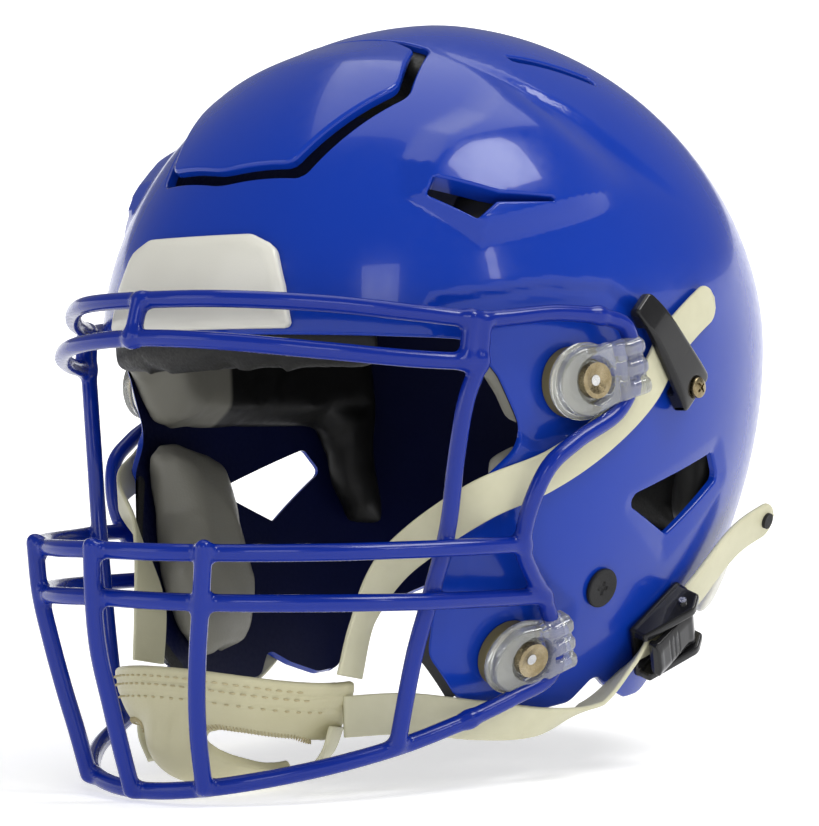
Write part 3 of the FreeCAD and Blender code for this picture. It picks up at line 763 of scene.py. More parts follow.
PANEL_EDGE = rounded(doubled([(30, 45), (47, 94), (34, 125), (22, 130)], 40), [30, 6, 12, 5, 2, 2, 5, 12, 6])
SLOT_EDGE = rounded(doubled([(35, 41.5), (51, 93.5), (38, 129), (24, 130.4)], 35.5),
                    [30, 6, 12, 5, 1, 1, 5, 12, 6])
V_VENT_EDGE = rounded([(-92, 214), (-88, 219.5), (-70, 214), (-32, 213), (-72, 211), (-80, 205)], 1.0)
SIDE_VENT_EDGE = rounded([(-16, 104), (17, 90), (50, 111), (42, 121)], 3.0)
TOP_SLIT_EDGE = rounded([(53, -18), (57, -18), (68, 22), (64, 22)], 1.9)
V_PLATEAU = rounded([(-98.2, 214.2), (-80.4, 196.2), (-30, 208.5), (20, 222), (45, 262), (-10, 290),
                     (-62, 250), (-80, 241), (-93, 228)], [3, 3, 20, 10, 10, 10, 12, 12, 8])
UPPER_POCKET = rounded([(-104, 178), (-60, 185), (-28, 185), (-16, 178), (-8, 150), (-12, 136),
                        (-40, 128), (-62, 122), (-90, 140)], 7.0)
LOWER_POCKET = rounded([(-100, 122), (-70, 112), (-64, 90), (-45, 75), (-30, 66), (-27, 50), (-40, 34),
                        (-58, 12), (-100, 12)], 8.0)
VENT_DENT = rounded([(-22, 104), (16, 78), (58, 111), (45, 129)], 6.0)
CROWN_CAP = rounded([(20, -44), (49.6, -41), (72, -23), (87.4, -1), (94.3, 13), (99, 27), (104, 60),
                     (92, 112), (60, 160), (-40, 170), (-40, -44)], [4, 30, 30, 30, 30, 30, 30, 30, 5, 5, 5])
PANEL_PROUD = 2.5


def side_plane(p):
    return p[:, 1:3]


def slope_plane(p):
    return np.stack([p[:, 0], 0.8 * p[:, 1] + 0.6 * p[:, 2]], axis=1)


def top_plane(p):
    return np.stack([np.abs(p[:, 0]), p[:, 1]], axis=1)


def over_slope(p):
    return -0.6 * p[:, 1] + 0.8 * p[:, 2] > 120


def shell_depth(p):
    depth = outline_depth(side_plane(p), SHELL_EDGE)
    depth = np.minimum(depth, np.where(over_slope(p), -outline_depth(slope_plane(p), SLOT_EDGE), 1e3))
    on_side = np.abs(p[:, 0]) > 45
    for vent in (V_VENT_EDGE, SIDE_VENT_EDGE):
        depth = np.minimum(depth, np.where(on_side, -outline_depth(side_plane(p), vent), 1e3))
    slit = -outline_depth(top_plane(p), TOP_SLIT_EDGE)
    return np.minimum(depth, np.where(p[:, 2] > 200, slit, 1e3))


def ramp(depth, width, soft=0.8):
    """0 outside an edge, 1 from width inwards, with softened corners."""
    def above(d):
        return (np.sqrt(d * d + soft * soft) + d) / 2
    return (above(depth) - above(depth - width)) / width


def shell_height(p):
    """Relief of the shell's outer face: plateaus, pockets, dents, crown step and rear spine."""
    x, y, z = np.abs(p[:, 0]), p[:, 1], p[:, 2]
    side = smoothstep(40, 60, x)
    plateau = ramp(outline_depth(side_plane(p), V_PLATEAU), 8.0)
    plateau *= (1 - smoothstep(-44, 4, y)) * (1 - smoothstep(232, 268, z)) * side
    pockets = (2.2 * ramp(outline_depth(side_plane(p), UPPER_POCKET), 3.5)
               + 2.4 * ramp(outline_depth(side_plane(p), LOWER_POCKET), 5.0)) * side
    dent = 1.8 * ramp(outline_depth(side_plane(p), VENT_DENT), 9.0) * side
    outside = -outline_depth(top_plane(p), CROWN_CAP)
    cove = 2.4 * ramp(outside, 3.0) * (1 - smoothstep(3, 26, outside))
    cove *= smoothstep(-46, -20, y) * (1 - smoothstep(40, 120, y)) * smoothstep(215, 240, z)
    face_edge = outline_depth(side_plane(p), SHELL_EDGE)
    bevel = 1.3 * (1 - ramp(face_edge, 6.0)) * (1 - smoothstep(-45, -30, y)) * side
    bevel *= 1 - smoothstep(158, 168, z)
    spine = 2.0 * ramp(24 - x + (z - 200) * 0.04, 5.0) * smoothstep(96, 118, y) * smoothstep(96, 108, z)
    spine *= 1 - smoothstep(232, 262, z)
    return 5.4 * plateau - pockets - dent - cove - bevel + spine


def paint_inside(piece, inside_material):
    """Second material on the faces that look towards the head; on the shell it is a darker blue that paints
    the shade inside.
    """
    mesh = piece.data
    mesh.materials.append(inside_material)
    centres = np.empty(len(mesh.polygons) * 3)
    normals = np.empty(len(mesh.polygons) * 3)
    mesh.polygons.foreach_get("center", centres)
    mesh.polygons.foreach_get("normal", normals)
    centres = centres.reshape(-1, 3) * 1000.0 - np.array([0.0, ORIGIN_SHIFT, 0.0])
    facing = np.sum(form_normal(centres) * normals.reshape(-1, 3), axis=1)
    mesh.polygons.foreach_set("material_index", (facing < -0.5).astype(np.int32))


def of_side(outline):
    return lambda p: outline_depth(side_plane(p), outline)


shell_creases = [
    (of_side(V_PLATEAU), (0.0, 4.5, 9.0)),
    (of_side(UPPER_POCKET), (0.0, 3.5)),
    (of_side(LOWER_POCKET), (0.0, 5.0)),
    (of_side(VENT_DENT), (0.0, 9.0)),
    (lambda p: outline_depth(top_plane(p), CROWN_CAP), (0.0, -3.0)),
]
shell_shape = moulding(shell_depth, shell_height, SHELL_T, creases=shell_creases)
shell_skin = put("shell_skin", shell_shape, SHELL_BLUE, node="shell")
# the inward faces take the darker blue, which paints the shade inside the shell
paint_inside(shell_skin, SHELL_INSIDE_PAINTED_SHADE)


def panel_depth(p):
    return np.where(over_slope(p), outline_depth(slope_plane(p), PANEL_EDGE), FAR_OUTSIDE)


def panel_height(p):
    along = slope_plane(p)[:, 1]
    return PANEL_PROUD * (1 - 0.85 * smoothstep(100, 129, along))


panel_shape = moulding(panel_depth, panel_height, 1.5, edge_radius=1.7,
                       creases=[(lambda p: slope_plane(p)[:, 1], (100.0, 115.0))])
put("flex_panel_skin", panel_shape, SHELL_BLUE, "flex_panel", "front_flex_panel")


# ---- bumpers ---------------------------------------------------------------------------------
FRONT_BUMPER_EDGE = rounded([(-44, 167), (44, 167), (40.5, 182), (35, 196), (25, 200.5), (-25, 200.5),
                             (-35, 196), (-40.5, 182)], [2, 2, 8, 8, 8, 8, 8, 8])
REAR_BUMPER_EDGE = rounded(
    [(-86, 57), (-80, 61), (-72, 65), (-60, 69), (-45, 70.8), (45, 70.8), (60, 69), (72, 65),
     (80, 61), (86, 57), (87, 74), (80, 82), (66, 91), (-66, 91), (-80, 82), (-87, 74)], 3.0)


def front_plane(p):
    return p[:, [0, 2]]


def front_bumper_depth(p):
    return np.where(p[:, 1] < -40, outline_depth(front_plane(p), FRONT_BUMPER_EDGE), FAR_OUTSIDE)


def rear_bumper_depth(p):
    return np.where(p[:, 1] > 60, outline_depth(front_plane(p), REAR_BUMPER_EDGE), FAR_OUTSIDE)


BUMPER_T, BEVEL_W, BEVEL_DROP = 5.0, 3.2, 1.6


def put_bumper(name, depth_of):
    def height(p):
        return BUMPER_T - BEVEL_DROP * (1 - ramp(depth_of(p), BEVEL_W))
    shape = moulding(depth_of, height, -0.3, 1.2, creases=[(depth_of, (BEVEL_W,))])
    put(name + "_skin", shape, BUMPER_WHITE, node=name)


put_bumper("front_bumper", front_bumper_depth)
put_bumper("rear_bumper", rear_bumper_depth)


# ---- mask ------------------------------------------------------------------------------------
MASK_HALVES = {
    "brow_upper": [(0, -160.6, 177.4), (34, -155, 177), (64, -134, 175), (86, -112, 171.8), (99, -91, 169.8),
                   (109, -62, 172.5), (115.5, -44, 172)],
    "chin": [(0, -164.2, 3.1), (28, -157.4, 5.3), (54, -132, 11), (70, -102, 18), (80.5, -76, 26)],
    "brow_lower": [(0, -165.4, 163.7), (36, -159, 162), (66, -138, 158.5), (88, -112, 155.5),
                   (99.6, -92.6, 154.7)],
    "mouth_upper": [(0, -182.6, 89.2), (24, -179.4, 88.9), (46, -167.6, 88.7), (72, -142, 88.7),
                    (88, -112, 89),
                    (98, -88, 89.5), (101, -70.5, 89.5)],
    "mouth_lower": [(0, -182, 72.5), (24, -178.8, 72), (45, -167.6, 71.5), (70, -141, 71), (86, -109, 70.5),
                    (97, -53, 70)],
}
MASK_SIDES = {
    "side": [(115.5, -44, 172), (118.5, -31, 168), (118.5, -27, 150), (117, -33, 138), (113.5, -55, 126.5),
             (110.5, -68, 117), (105, -73, 100), (101, -70.5, 88), (99, -63, 79), (97, -53, 70), (96, -47, 60),
             (95, -43, 50), (92, -43, 40), (87, -58, 33), (80.5, -76, 26)],
    "eye": [(99.8, -91.5, 168), (99, -93, 154.7), (95.4, -95.5, 142), (92, -97, 122), (88.6, -98, 96),
            (82.4, -101, 70), (77.8, -103.3, 52), (71, -105, 19.5)],
    "front": [(42.4, -174.2, 90.5), (40.4, -173.5, 72), (36.9, -171.5, 54.9), (33.3, -168.4, 37.2),
              (30.8, -164.9, 22.7), (29, -160.5, 6.1)],
    "brow_link": [(98, -96, 170), (97.5, -98, 155)],
}
MASK_MIDDLE = {
    "centre": [(0, -186.5, 90.5), (0, -185.7, 72.3), (0, -183.3, 54), (0, -177.6, 35), (0, -173.2, 21),
               (0, -167.3, 3.7)],
    "centre_link": [(0, -162.5, 177), (0, -166.5, 163)],
}
MASK_STEP = 0.95
WELD_BLEND = 2.6


def mask_shape():
    """All bars of the mask as one welded wire form."""
    bars = [smooth_path(both_sides(half)) for half in MASK_HALVES.values()]
    bars += [smooth_path(half) for half in MASK_MIDDLE.values()]
    for half in MASK_SIDES.values():
        bars += [smooth_path(half), smooth_path(np.asarray(half, float) * MIRROR)]
    low = np.min([bar.min(axis=0) for bar in bars], axis=0) - 8
    high = np.max([bar.max(axis=0) for bar in bars], axis=0) + 8
    size = np.ceil((high - low) / MASK_STEP).astype(int) + 1
    total = np.full(size, 20.0, np.float32)
    margin = WIRE_R + WELD_BLEND + 2.0
    for bar in bars:
        first = np.floor((bar.min(axis=0) - margin - low) / MASK_STEP).astype(int)
        last = np.ceil((bar.max(axis=0) + margin - low) / MASK_STEP).astype(int) + 1
        first, last = np.maximum(first, 0), np.minimum(last, size)
        own = np.full(last - first, 20.0, np.float32)
        for a, b in zip(bar[:-1], bar[1:]):
            lo = np.floor((np.minimum(a, b) - margin - low) / MASK_STEP).astype(int) - first
            hi = np.ceil((np.maximum(a, b) + margin - low) / MASK_STEP).astype(int) + 1 - first
            lo, hi = np.maximum(lo, 0), np.minimum(hi, last - first)
            axes = [low[k] + (np.arange(lo[k], hi[k]) + first[k]) * MASK_STEP for k in range(3)]
            grid = np.stack(np.meshgrid(*axes, indexing="ij"), axis=-1)
            part = tuple(slice(lo[k], hi[k]) for k in range(3))
            own[part] = np.minimum(own[part], chain_field(grid, [a, b], WIRE_R))
        window = tuple(slice(first[k], last[k]) for k in range(3))
        total[window] = smooth_min(total[window], own, WELD_BLEND)
    return net_mesh(total, low, MASK_STEP)


MASK_NODES = ["mask_side_bar_left", "mask_side_bar_right", "mask_brow_bar_upper", "mask_chin_bar",
              "mask_brow_bar_lower", "mask_mouth_bar_upper", "mask_mouth_bar_lower", "mask_eye_bar_left",
              "mask_eye_bar_right", "mask_front_bar_left", "mask_front_bar_right", "mask_front_bar_centre",
              "mask_brow_links"]
put("mask_wirework", mask_shape(), MASK_BLUE, node=MASK_NODES)


# ---- clips, grommets and posts ---------------------------------------------------------------
CLIPS = {"upper": (-44.6, 148.8, 15.0, 18.5), "lower": (-53.0, 49.5, 22.0, 13.0)}


def clip_field(back):
    """Clip round its post at the local origin; the wire runs across at x = back."""
    def field(p):
        x, y, z = p[..., 0], p[..., 1], p[..., 2]
        lobe = np.hypot((x + 2) / 1.12, y) - 12.6
        tail = rounded_box(p - np.array([back / 2 + 1.5, 0, 5.6]), (back / 2 + 4.5, 11.2, 3.4), 1.6)
        plate = smooth_max(lobe, np.abs(z - 5.4) - 3.0, 1.6)
        body = smooth_min(plate, tail, 1.5)
        step = smooth_max(np.hypot((x + 2) / 1.12, y) - 14.2, np.abs(z - 3.6) - 1.0, 1.0)
        body = smooth_min(body, step, 0.6)
        crown = rounded_box(p - np.array([back - 6.0, 0, 8.6]), (2.2, 10.6, 1.8), 0.9)
        body = smooth_min(body, crown, 1.0)
        for across in (-7.4, 0.0, 7.4):
            knuckle = rounded_box(p - np.array([back + 0.6, across, 6.2]), (5.6, 3.2, 5.2), 2.6)
            body = smooth_min(body, knuckle, 0.7)
        bowl = np.hypot(x, y) - (7.4 + 0.55 * (z - 6.0))
        bowl = smooth_max(bowl, 6.0 - z, 0.6)
        body = smooth_max(body, -bowl, 0.6)
        bore = np.hypot(x, y) - 4.3
        return smooth_max(body, -bore, 0.3)
    return field


grommet_shapes = []
for clip_name, (clip_y, clip_z, clip_lean, clip_back) in CLIPS.items():
    clip_place = side_frame(clip_y, clip_z, clip_lean)
    clip_shape = field_shape((-18, -15.5, 1.6), (clip_back + 8, 15.5, 13), 0.45, clip_field(clip_back),
                             clip_place)
    put_pair(clip_name + "_clip_clear", clip_shape, CLEAR, node=clip_name + "_clip")

    def grommet_field(p):
        disc = cylinder_field(p + np.array([4.0, 0, 0]), 13.0, -2.6, 2.4, 0.8)
        rim = cylinder_field(p + np.array([4.0, 0, 0]), 11.0, 1.4, 3.4, 0.6)
        bore = np.hypot(p[..., 0], p[..., 1]) - 4.2
        return smooth_max(smooth_max(disc, -rim, 0.3), -bore, 0.2)

    grommet_shapes.append(field_shape((-18.5, -14.5, -3.6), (10.5, 14.5, 4), 0.6, grommet_field, clip_place))


grommet_pair = joined(grommet_shapes + [flipped(s) for s in grommet_shapes])
put("clip_grommets_rubber", grommet_pair, OLIVE_RUBBER, node="clip_grommets")


# ---- buckles ---------------------------------------------------------------------------------
UPPER_BUCKLE = (-2.5, 160.5, -47.0)
LOWER_BUCKLE = (23.0, 54.0, 38.0)
SCREW_X = 19.5


def upper_buckle_field(p):
    """Arched strap keeper with ribs and a screw seat."""
    x, y, z = p[..., 0], p[..., 1], p[..., 2]
    taper = 1.0 + 0.012 * x
    body = rounded_box(np.stack([x, y / taper, z - 4.0], axis=-1), (23.6, 8.0, 4.3), 2.4)
    body = smooth_max(body, np.hypot(x - 3, z + 72) - 81.0, 1.2)
    channel = rounded_box(p - np.array([-0.5, 0, 0.0]), (15.2, 12, 4.5), 1.0)
    body = smooth_max(body, -channel, 0.6)
    for k in range(6):
        groove = np.hypot(x - (-12 + 4.2 * k), z - 8.9) - 0.55
        body = smooth_max(body, -np.maximum(groove, 2.6 - y), 0.3)
    seat = cylinder_field(p - np.array([SCREW_X, 0, 0]), 4.5, 6.6, 12, 0.3)
    return smooth_max(body, -seat, 0.5)


def cross_slot(x, y, half_width, reach):
    """Plan of a cross-shaped driver slot."""
    return np.minimum(np.maximum(np.abs(x) - half_width, np.abs(y) - reach),
                      np.maximum(np.abs(y) - half_width, np.abs(x) - reach))


def screw_field(p):
    """Domed cross-head screw."""
    x, y, z = p[..., 0], p[..., 1], p[..., 2]
    head = np.sqrt(x ** 2 + y ** 2 + (z - 2.2) ** 2) - 7.8
    head = smooth_max(smooth_max(head, np.hypot(x, y) - 4.0, 0.5), 6.2 - z, 0.3)
    return smooth_max(head, -np.maximum(cross_slot(x, y, 0.45, 2.3), 8.6 - z), 0.15)


upper_place = side_frame(*UPPER_BUCKLE)
upper_buckle_shape = field_shape((-27, -10, -1.2), (27, 10, 10.5), 0.5, upper_buckle_field, upper_place)
put_pair("upper_buckle_arch", upper_buckle_shape, BLACK_GLOSS, node="upper_buckle")
screw_origin = upper_place[0] + upper_place[1] * SCREW_X
screw_shape = field_shape((-5, -5, 5.4), (5, 5, 10.8), 0.24, screw_field, (screw_origin, *upper_place[1:]))
put("upper_buckle_screw_heads", joined([screw_shape, flipped(screw_shape)]), BRASS,
    node="upper_buckle_screws")

PIN_X, PIN_Z = 7.5, 9.5
LEVER_HALF = 8.6


def lower_buckle_field(p):
    """Base plate with two tall cheeks and a roller end."""
    x, y, z = p[..., 0], p[..., 1], p[..., 2]
    body = rounded_box(p - np.array([0, 0, 1.6]), (15.4, 12.8, 1.3), 1.0)
    slope_up = (z - 8.2) - 0.33 * (x + 15)
    slope_down = (z - 15.2) + 0.45 * (x - 8)
    for across in (-10.9, 10.9):
        cheek = rounded_box(p - np.array([-0.4, across, 8.2]), (14.8, 1.9, 7.4), 1.0)
        cheek = smooth_max(smooth_max(cheek, slope_up, 1.2), slope_down, 1.2)
        rim = np.maximum(cheek + 1.6, np.abs(y) - 12.45)
        body = smooth_min(body, smooth_max(cheek, -np.maximum(rim, 12.2 - np.abs(y)), 0.4), 0.8)
    end = rounded_box(p - np.array([14.2, 0, 3.2]), (1.4, 12.0, 3.0), 1.0)
    return smooth_min(body, end, 0.6)


def lever_field(p):
    """Lever with its cam, lip and grip grooves."""
    x, y, z = p[..., 0], p[..., 1], p[..., 2]
    half = LEVER_HALF - 0.2
    cam = np.maximum(np.hypot(x - PIN_X, z - PIN_Z) - 3.6, np.abs(y) - half)
    lid = rounded_box(p - np.array([-3.0, 0, PIN_Z + 1.9]), (10.9, half, 1.8), 0.9)
    lip = rounded_box(p - np.array([-12.6, 0, PIN_Z + 1.0]), (1.3, half, 2.6), 1.0)
    lid = smooth_min(lid, lip, 1.0)
    lid = smooth_max(lid, (z - PIN_Z - 3.9) + 0.35 * (np.abs(y) - 5.0), 0.5)
    body = smooth_min(cam, lid, 1.2)
    for k in range(3):
        groove = np.hypot(x + 6.5 - 2.6 * k, z - PIN_Z - 3.9) - 0.5
        body = smooth_max(body, -groove, 0.3)
    return smooth_max(body, -(np.hypot(x - PIN_X, z - PIN_Z) - 1.6), 0.1)


lower_place = side_frame(*LOWER_BUCKLE)
lower_buckle_shape = field_shape((-17.5, -14.5, -0.8), (17.5, 14.5, 17.5), 0.5, lower_buckle_field,
                                 lower_place)
put_pair("lower_buckle_case", lower_buckle_shape, BLACK_GLOSS, node="lower_buckle")
lever_shape = field_shape((-15.5, -10, 4.4), (12.6, 10, 15), 0.45, lever_field, lower_place)
put_pair("lower_buckle_lid", lever_shape, BLACK_GLOSS, "buckle_lever", "lower_buckle_lever")


def plug_field(p):
    """Dished plug with a cross slot."""
    x, y, z = p[..., 0], p[..., 1], p[..., 2]
    disc = cylinder_field(p, 7.6, 0.0, 2.0, 0.7)
    dish = np.sqrt(x ** 2 + y ** 2 + (z - 34) ** 2) - 32.5
    disc = smooth_max(disc, -dish, 0.3)
    return smooth_max(disc, -np.maximum(cross_slot(x, y, 0.7, 2.6), 0.9 - z), 0.2)


plug_shape = field_shape((-9, -9, -0.8), (9, 9, 3.2), 0.4, plug_field, side_frame(-19.8, 71.7))
put("jaw_plug_discs", joined([plug_shape, flipped(plug_shape)]), BLACK_RUBBER, node="jaw_plugs")


# ---- straps ----------------------------------------------------------------------------------
STRAP_W = 15.0
STRAP_T = 1.8


def strap_shape(stations, width=STRAP_W, thick=STRAP_T, round_end=True):
    """Webbing through (point, across, outward) stations, with its free end rounded."""
    points = smooth_path([s[0] for s in stations], 1.2)
    marks = np.array([s[0] for s in stations], float)
    lengths = np.concatenate([[0], np.cumsum(np.linalg.norm(np.diff(points, axis=0), axis=1))])
    at = np.array([lengths[np.argmin(np.linalg.norm(points - m, axis=1))] for m in marks])
    at[0], at[-1] = 0.0, lengths[-1]

    def blended(column):
        rows = np.array([np.array(s[column], float) / np.linalg.norm(s[column]) for s in stations])
        out = np.stack([np.interp(lengths, at, rows[:, k]) for k in range(3)], axis=1)
        return out / np.linalg.norm(out, axis=1, keepdims=True)

    across, outward = blended(1), blended(2)
    tangent = np.gradient(points, axis=0)
    tangent /= np.linalg.norm(tangent, axis=1, keepdims=True)
    across -= tangent * np.sum(across * tangent, axis=1, keepdims=True)
    across /= np.linalg.norm(across, axis=1, keepdims=True)
    outward -= tangent * np.sum(outward * tangent, axis=1, keepdims=True)
    outward -= across * np.sum(outward * across, axis=1, keepdims=True)
    outward /= np.linalg.norm(outward, axis=1, keepdims=True)
    profile = []
    for corner_x, corner_z, start in ((1, 1, 0), (-1, 1, 90), (-1, -1, 180), (1, -1, 270)):
        for degrees in (0, 30, 60, 90):
            a = math.radians(start + degrees)
            r = thick * 0.42
            profile.append((corner_x * (width / 2 - r) + r * math.cos(a),
                            corner_z * (thick / 2 - r) + r * math.sin(a)))
    profile = np.array(profile)
    remain = lengths[-1] - lengths
    half = width / 2
    shrink = np.ones(len(points))
    if round_end:
        near = remain < half
        shrink[near] = np.sqrt(np.maximum(1 - ((half - remain[near]) / half) ** 2, 0.0004))
    rings = (points[:, None, :] + across[:, None, :] * (profile[None, :, 0:1] * shrink[:, None, None])
             + outward[:, None, :] * profile[None, :, 1:2])
    count, size = rings.shape[:2]
    faces = []
    for i in range(count - 1):
        for j in range(size):
            k = (j + 1) % size
            faces.append((i * size + j, (i + 1) * size + j, (i + 1) * size + k, i * size + k))
    faces.append(tuple(range(size)))
    faces.append(tuple(reversed(range((count - 1) * size, count * size))))
    shape = rings.reshape(-1, 3), faces, None
    uv = np.stack([np.repeat(lengths, size), np.tile(profile[:, 0], count)], axis=1) * 0.001
    return shape, uv


def put_straps(name, stations, node_name):
    """A pair of straps whose UVs run along them, in metres."""
    shape, uv = strap_shape(stations)
    for piece in put_pair(name, shape, WHITE_WEB, node=node_name):
        layer = piece.data.uv_layers.new(name="along")
        vertex = np.empty(len(piece.data.loops), np.int32)
        piece.data.loops.foreach_get("vertex_index", vertex)
        layer.data.foreach_set("uv", uv[vertex].ravel())


UPPER_STRAP = [
    ((51, -108, 42), (0.1, -0.9, 0.2), (1, 0, 0)),
    ((54, -104, 62), (0.2, -0.9, 0.3), (1, 0.2, 0)),
    ((62, -99, 80), (-0.1, -0.75, 0.6), (0.9, -0.4, 0.1)),
    ((72, -93, 91), (-0.3, -0.6, 0.75), (0.8, -0.5, 0.1)),
    ((92, -83, 105.5), (-0.3, -0.35, 0.9), (0.9, -0.5, 0)),
    ((104.2, -58, 116), (0, -0.5, 0.86), (1, -0.2, -0.1)),
    ((112.3, -35, 130), (0, -0.52, 0.85), (1, -0.1, 0)),
    ((115.9, -14, 146), (0, -0.62, 0.78), (1, 0, 0)),
    ((117.0, -2.5, 160.5), (0, -0.7, 0.7), (1, 0, 0)),
    ((115.9, 15, 172), (0, -0.45, 0.9), (1, 0.1, 0.1)),
    ((114.0, 33, 181), (0, -0.4, 0.9), (1, 0.15, 0.2)),
]
LOWER_STRAP = [
    ((49, -109, 27.6), (0, 0.1, 1), (1, 0.1, 0)),
    ((62, -90, 28), (0, 0.1, 1), (1, -0.3, 0)),
    ((74, -62, 24), (0.2, 0.1, 1), (1, -0.2, -0.2)),
    ((84.5, -35, 22), (0.6, -0.1, 0.6), (0.7, -0.1, -0.7)),
    ((90, -14, 27), (0.9, -0.3, 0.1), (0.1, 0.1, -1)),
    ((93.0, 6, 40), (0.8, -0.5, 0.3), (0.4, 0.2, -0.9)),
    ((97.6, 23, 54), (0.3, -0.6, 0.8), (1, 0.05, -0.35)),
    ((101.4, 39, 67.5), (0.3, -0.6, 0.8), (1, 0.1, -0.3)),
    ((105.0, 62, 86.5), (0.3, -0.5, 0.85), (1, 0.1, -0.3)),
    ((107, 86, 96), (0.3, -0.45, 0.87), (1, 0.1, -0.3)),
]
put_straps("upper_strap_webbing", UPPER_STRAP, "upper_strap")
put_straps("lower_strap_webbing", LOWER_STRAP, "lower_strap")


# ---- chin cup --------------------------------------------------------------------------------
CUP_CENTRE = np.array([0.0, -108.0, 43.0])
CUP_RADII = np.array([50.5, 46.0, 40.0])
POCKET_CENTRE = np.array([0.0, -131.0, 21.0])
POCKET_RADII = np.array([18.5, 23.0, 18.8])
CUP_T = 3.6
CUP_SLOT = rounded(
    [(13.5, 20.0), (14.5, 22.6), (20, 24.0), (28, 22.6), (40, 19.2), (37, 13), (28, 8.5), (18.5, 6.5)],
    [1.5, 2, 3, 3, 2, 2, 2, 2])


def ellipsoid_field(p, radii):
    """About the distance from an ellipsoid."""
    q = p / radii
    k = np.linalg.norm(q, axis=-1)
    return k * (k - 1.0) / np.maximum(np.linalg.norm(q / radii, axis=-1), 1e-9)


def cup_outside(p):
    """Outside of the cup: a bowl and a chin pocket."""
    bowl = ellipsoid_field(p - CUP_CENTRE, CUP_RADII)
    pocket = ellipsoid_field(p - POCKET_CENTRE, POCKET_RADII)
    return smooth_min(bowl, pocket, 5.0)


def cup_top(x):
    """Level of the cup's top edge."""
    return 46.2 - 0.0026 * x ** 2


def cup_field(p):
    """Cup wall with its slots and sewn seams."""
    x, y, z = np.abs(p[..., 0]), p[..., 1], p[..., 2]
    outside = cup_outside(p)
    wall = smooth_max(outside, -(outside + CUP_T), 0.8)
    wall = smooth_max(wall, z - cup_top(x), 1.8)
    wall = smooth_max(wall, y + 103.0, 1.6)
    flat = np.stack([x, z], axis=-1).reshape(-1, 2)
    slot = -outline_depth(flat, CUP_SLOT).reshape(x.shape)
    slot = np.maximum(slot, y + 98)
    wall = smooth_max(wall, -slot, 1.4)
    for depth, height in ((5.0, 0.5), (10.2, 0.35)):
        seam = np.hypot(outside, cup_top(x) - depth - z) - height
        wall = smooth_max(wall, -np.where(y < -104, seam, 5.0), 0.5)
    return wall


cup_shape = field_shape((-54, -158, 1), (54, -100, 49), 0.8, cup_field)
put("chin_cup_leather", cup_shape, CREAM_CUP, node="chin_cup")


def cup_front(x, z):
    """Points of the cup's outside at (x, z), found from in front."""
    near, far = np.full(len(x), -165.0), np.full(len(x), -104.0)
    for _ in range(30):
        middle = (near + far) / 2
        outside = cup_outside(np.stack([x, middle, z], axis=-1)) > 0
        near, far = np.where(outside, middle, near), np.where(outside, far, middle)
    return np.stack([x, near, z], axis=-1)


# share of the length, of the radius and of the rise, along one stitch
STITCH_FORM = ((0.0, 0.2, -0.5), (0.15, 0.8, 0.0), (0.5, 1.0, 1.0), (0.85, 0.8, 0.0), (1.0, 0.2, -0.5))


def stitch_row(path, normals, length=2.5, gap=1.5, radius=0.42, lift=0.12, lean=0.0):
    """Short thread stitches along a dense path."""
    steps = np.linalg.norm(np.diff(path, axis=0), axis=1)
    along = np.concatenate([[0], np.cumsum(steps)])
    shapes = []
    for start in np.arange(0.8, along[-1] - length, length + gap):
        ends = []
        for at in (start, start + length):
            point = np.array([np.interp(at, along, path[:, k]) for k in range(3)])
            normal = np.array([np.interp(at, along, normals[:, k]) for k in range(3)])
            ends.append((point, normal / np.linalg.norm(normal)))
        (a, na), (b, nb) = ends
        axis = (b - a) / np.linalg.norm(b - a)
        side = np.cross(na, axis)
        a, b = a + side * lean, b - side * lean
        rings = []
        for t, swell, rise in STITCH_FORM:
            centre = a * (1 - t) + b * t + na * (lift + 0.25 * rise)
            turns = np.arange(6) * math.tau / 6
            spokes = np.cos(turns)[:, None] * side + np.sin(turns)[:, None] * na
            rings.append(centre + radius * swell * spokes)
        points = np.concatenate(rings)
        faces = [(r * 6 + k, r * 6 + (k + 1) % 6, (r + 1) * 6 + (k + 1) % 6, (r + 1) * 6 + k)
                 for r in range(4) for k in range(6)]
        faces += [tuple(reversed(range(6))), tuple(range(24, 30))]
        shapes.append((points, faces, None))
    return shapes


def cup_normal(points):
    return steepest(cup_outside, points, 0.3)


stitches = []
row_x = np.linspace(-47, 47, 160)
for row_depth, row_length, row_gap in ((3.4, 2.4, 1.5), (6.4, 2.4, 1.5), (11.0, 1.8, 2.6)):
    row = cup_front(row_x, cup_top(row_x) - row_depth)
    stitches += stitch_row(row, cup_normal(row), row_length, row_gap)
for mirror_sign in (1, -1):
    rim = CUP_SLOT[(CUP_SLOT[:, 1] > 15.0)]
    rim = rim[np.argsort(rim[:, 0])]
    rim = smooth_path(np.stack([rim[:, 0] * mirror_sign, 0 * rim[:, 0], rim[:, 1] + 1.3], axis=1), 1.0)
    rim = cup_front(rim[:, 0], rim[:, 2])
    stitches += stitch_row(rim, cup_normal(rim), 1.0, 0.25, 0.5, 0.1, lean=1.1)
put("chin_cup_stitching", joined(stitches), CREAM_THREAD)

TAB = [((46.5, -110, 24), (0.35, -0.9, 0), (0.9, 0.4, 0.1)), ((44, -112, 15), (0.4, -0.9, 0),
                                                              (0.9, 0.4, -0.2)),
       ((37, -114, 7), (0.5, -0.85, 0), (0.7, 0.4, -0.6))]
tab_shape = strap_shape(TAB, width=13.0, thick=2.0, round_end=False)[0]
put_pair("chin_cup_tab", tab_shape, WHITE_WEB)


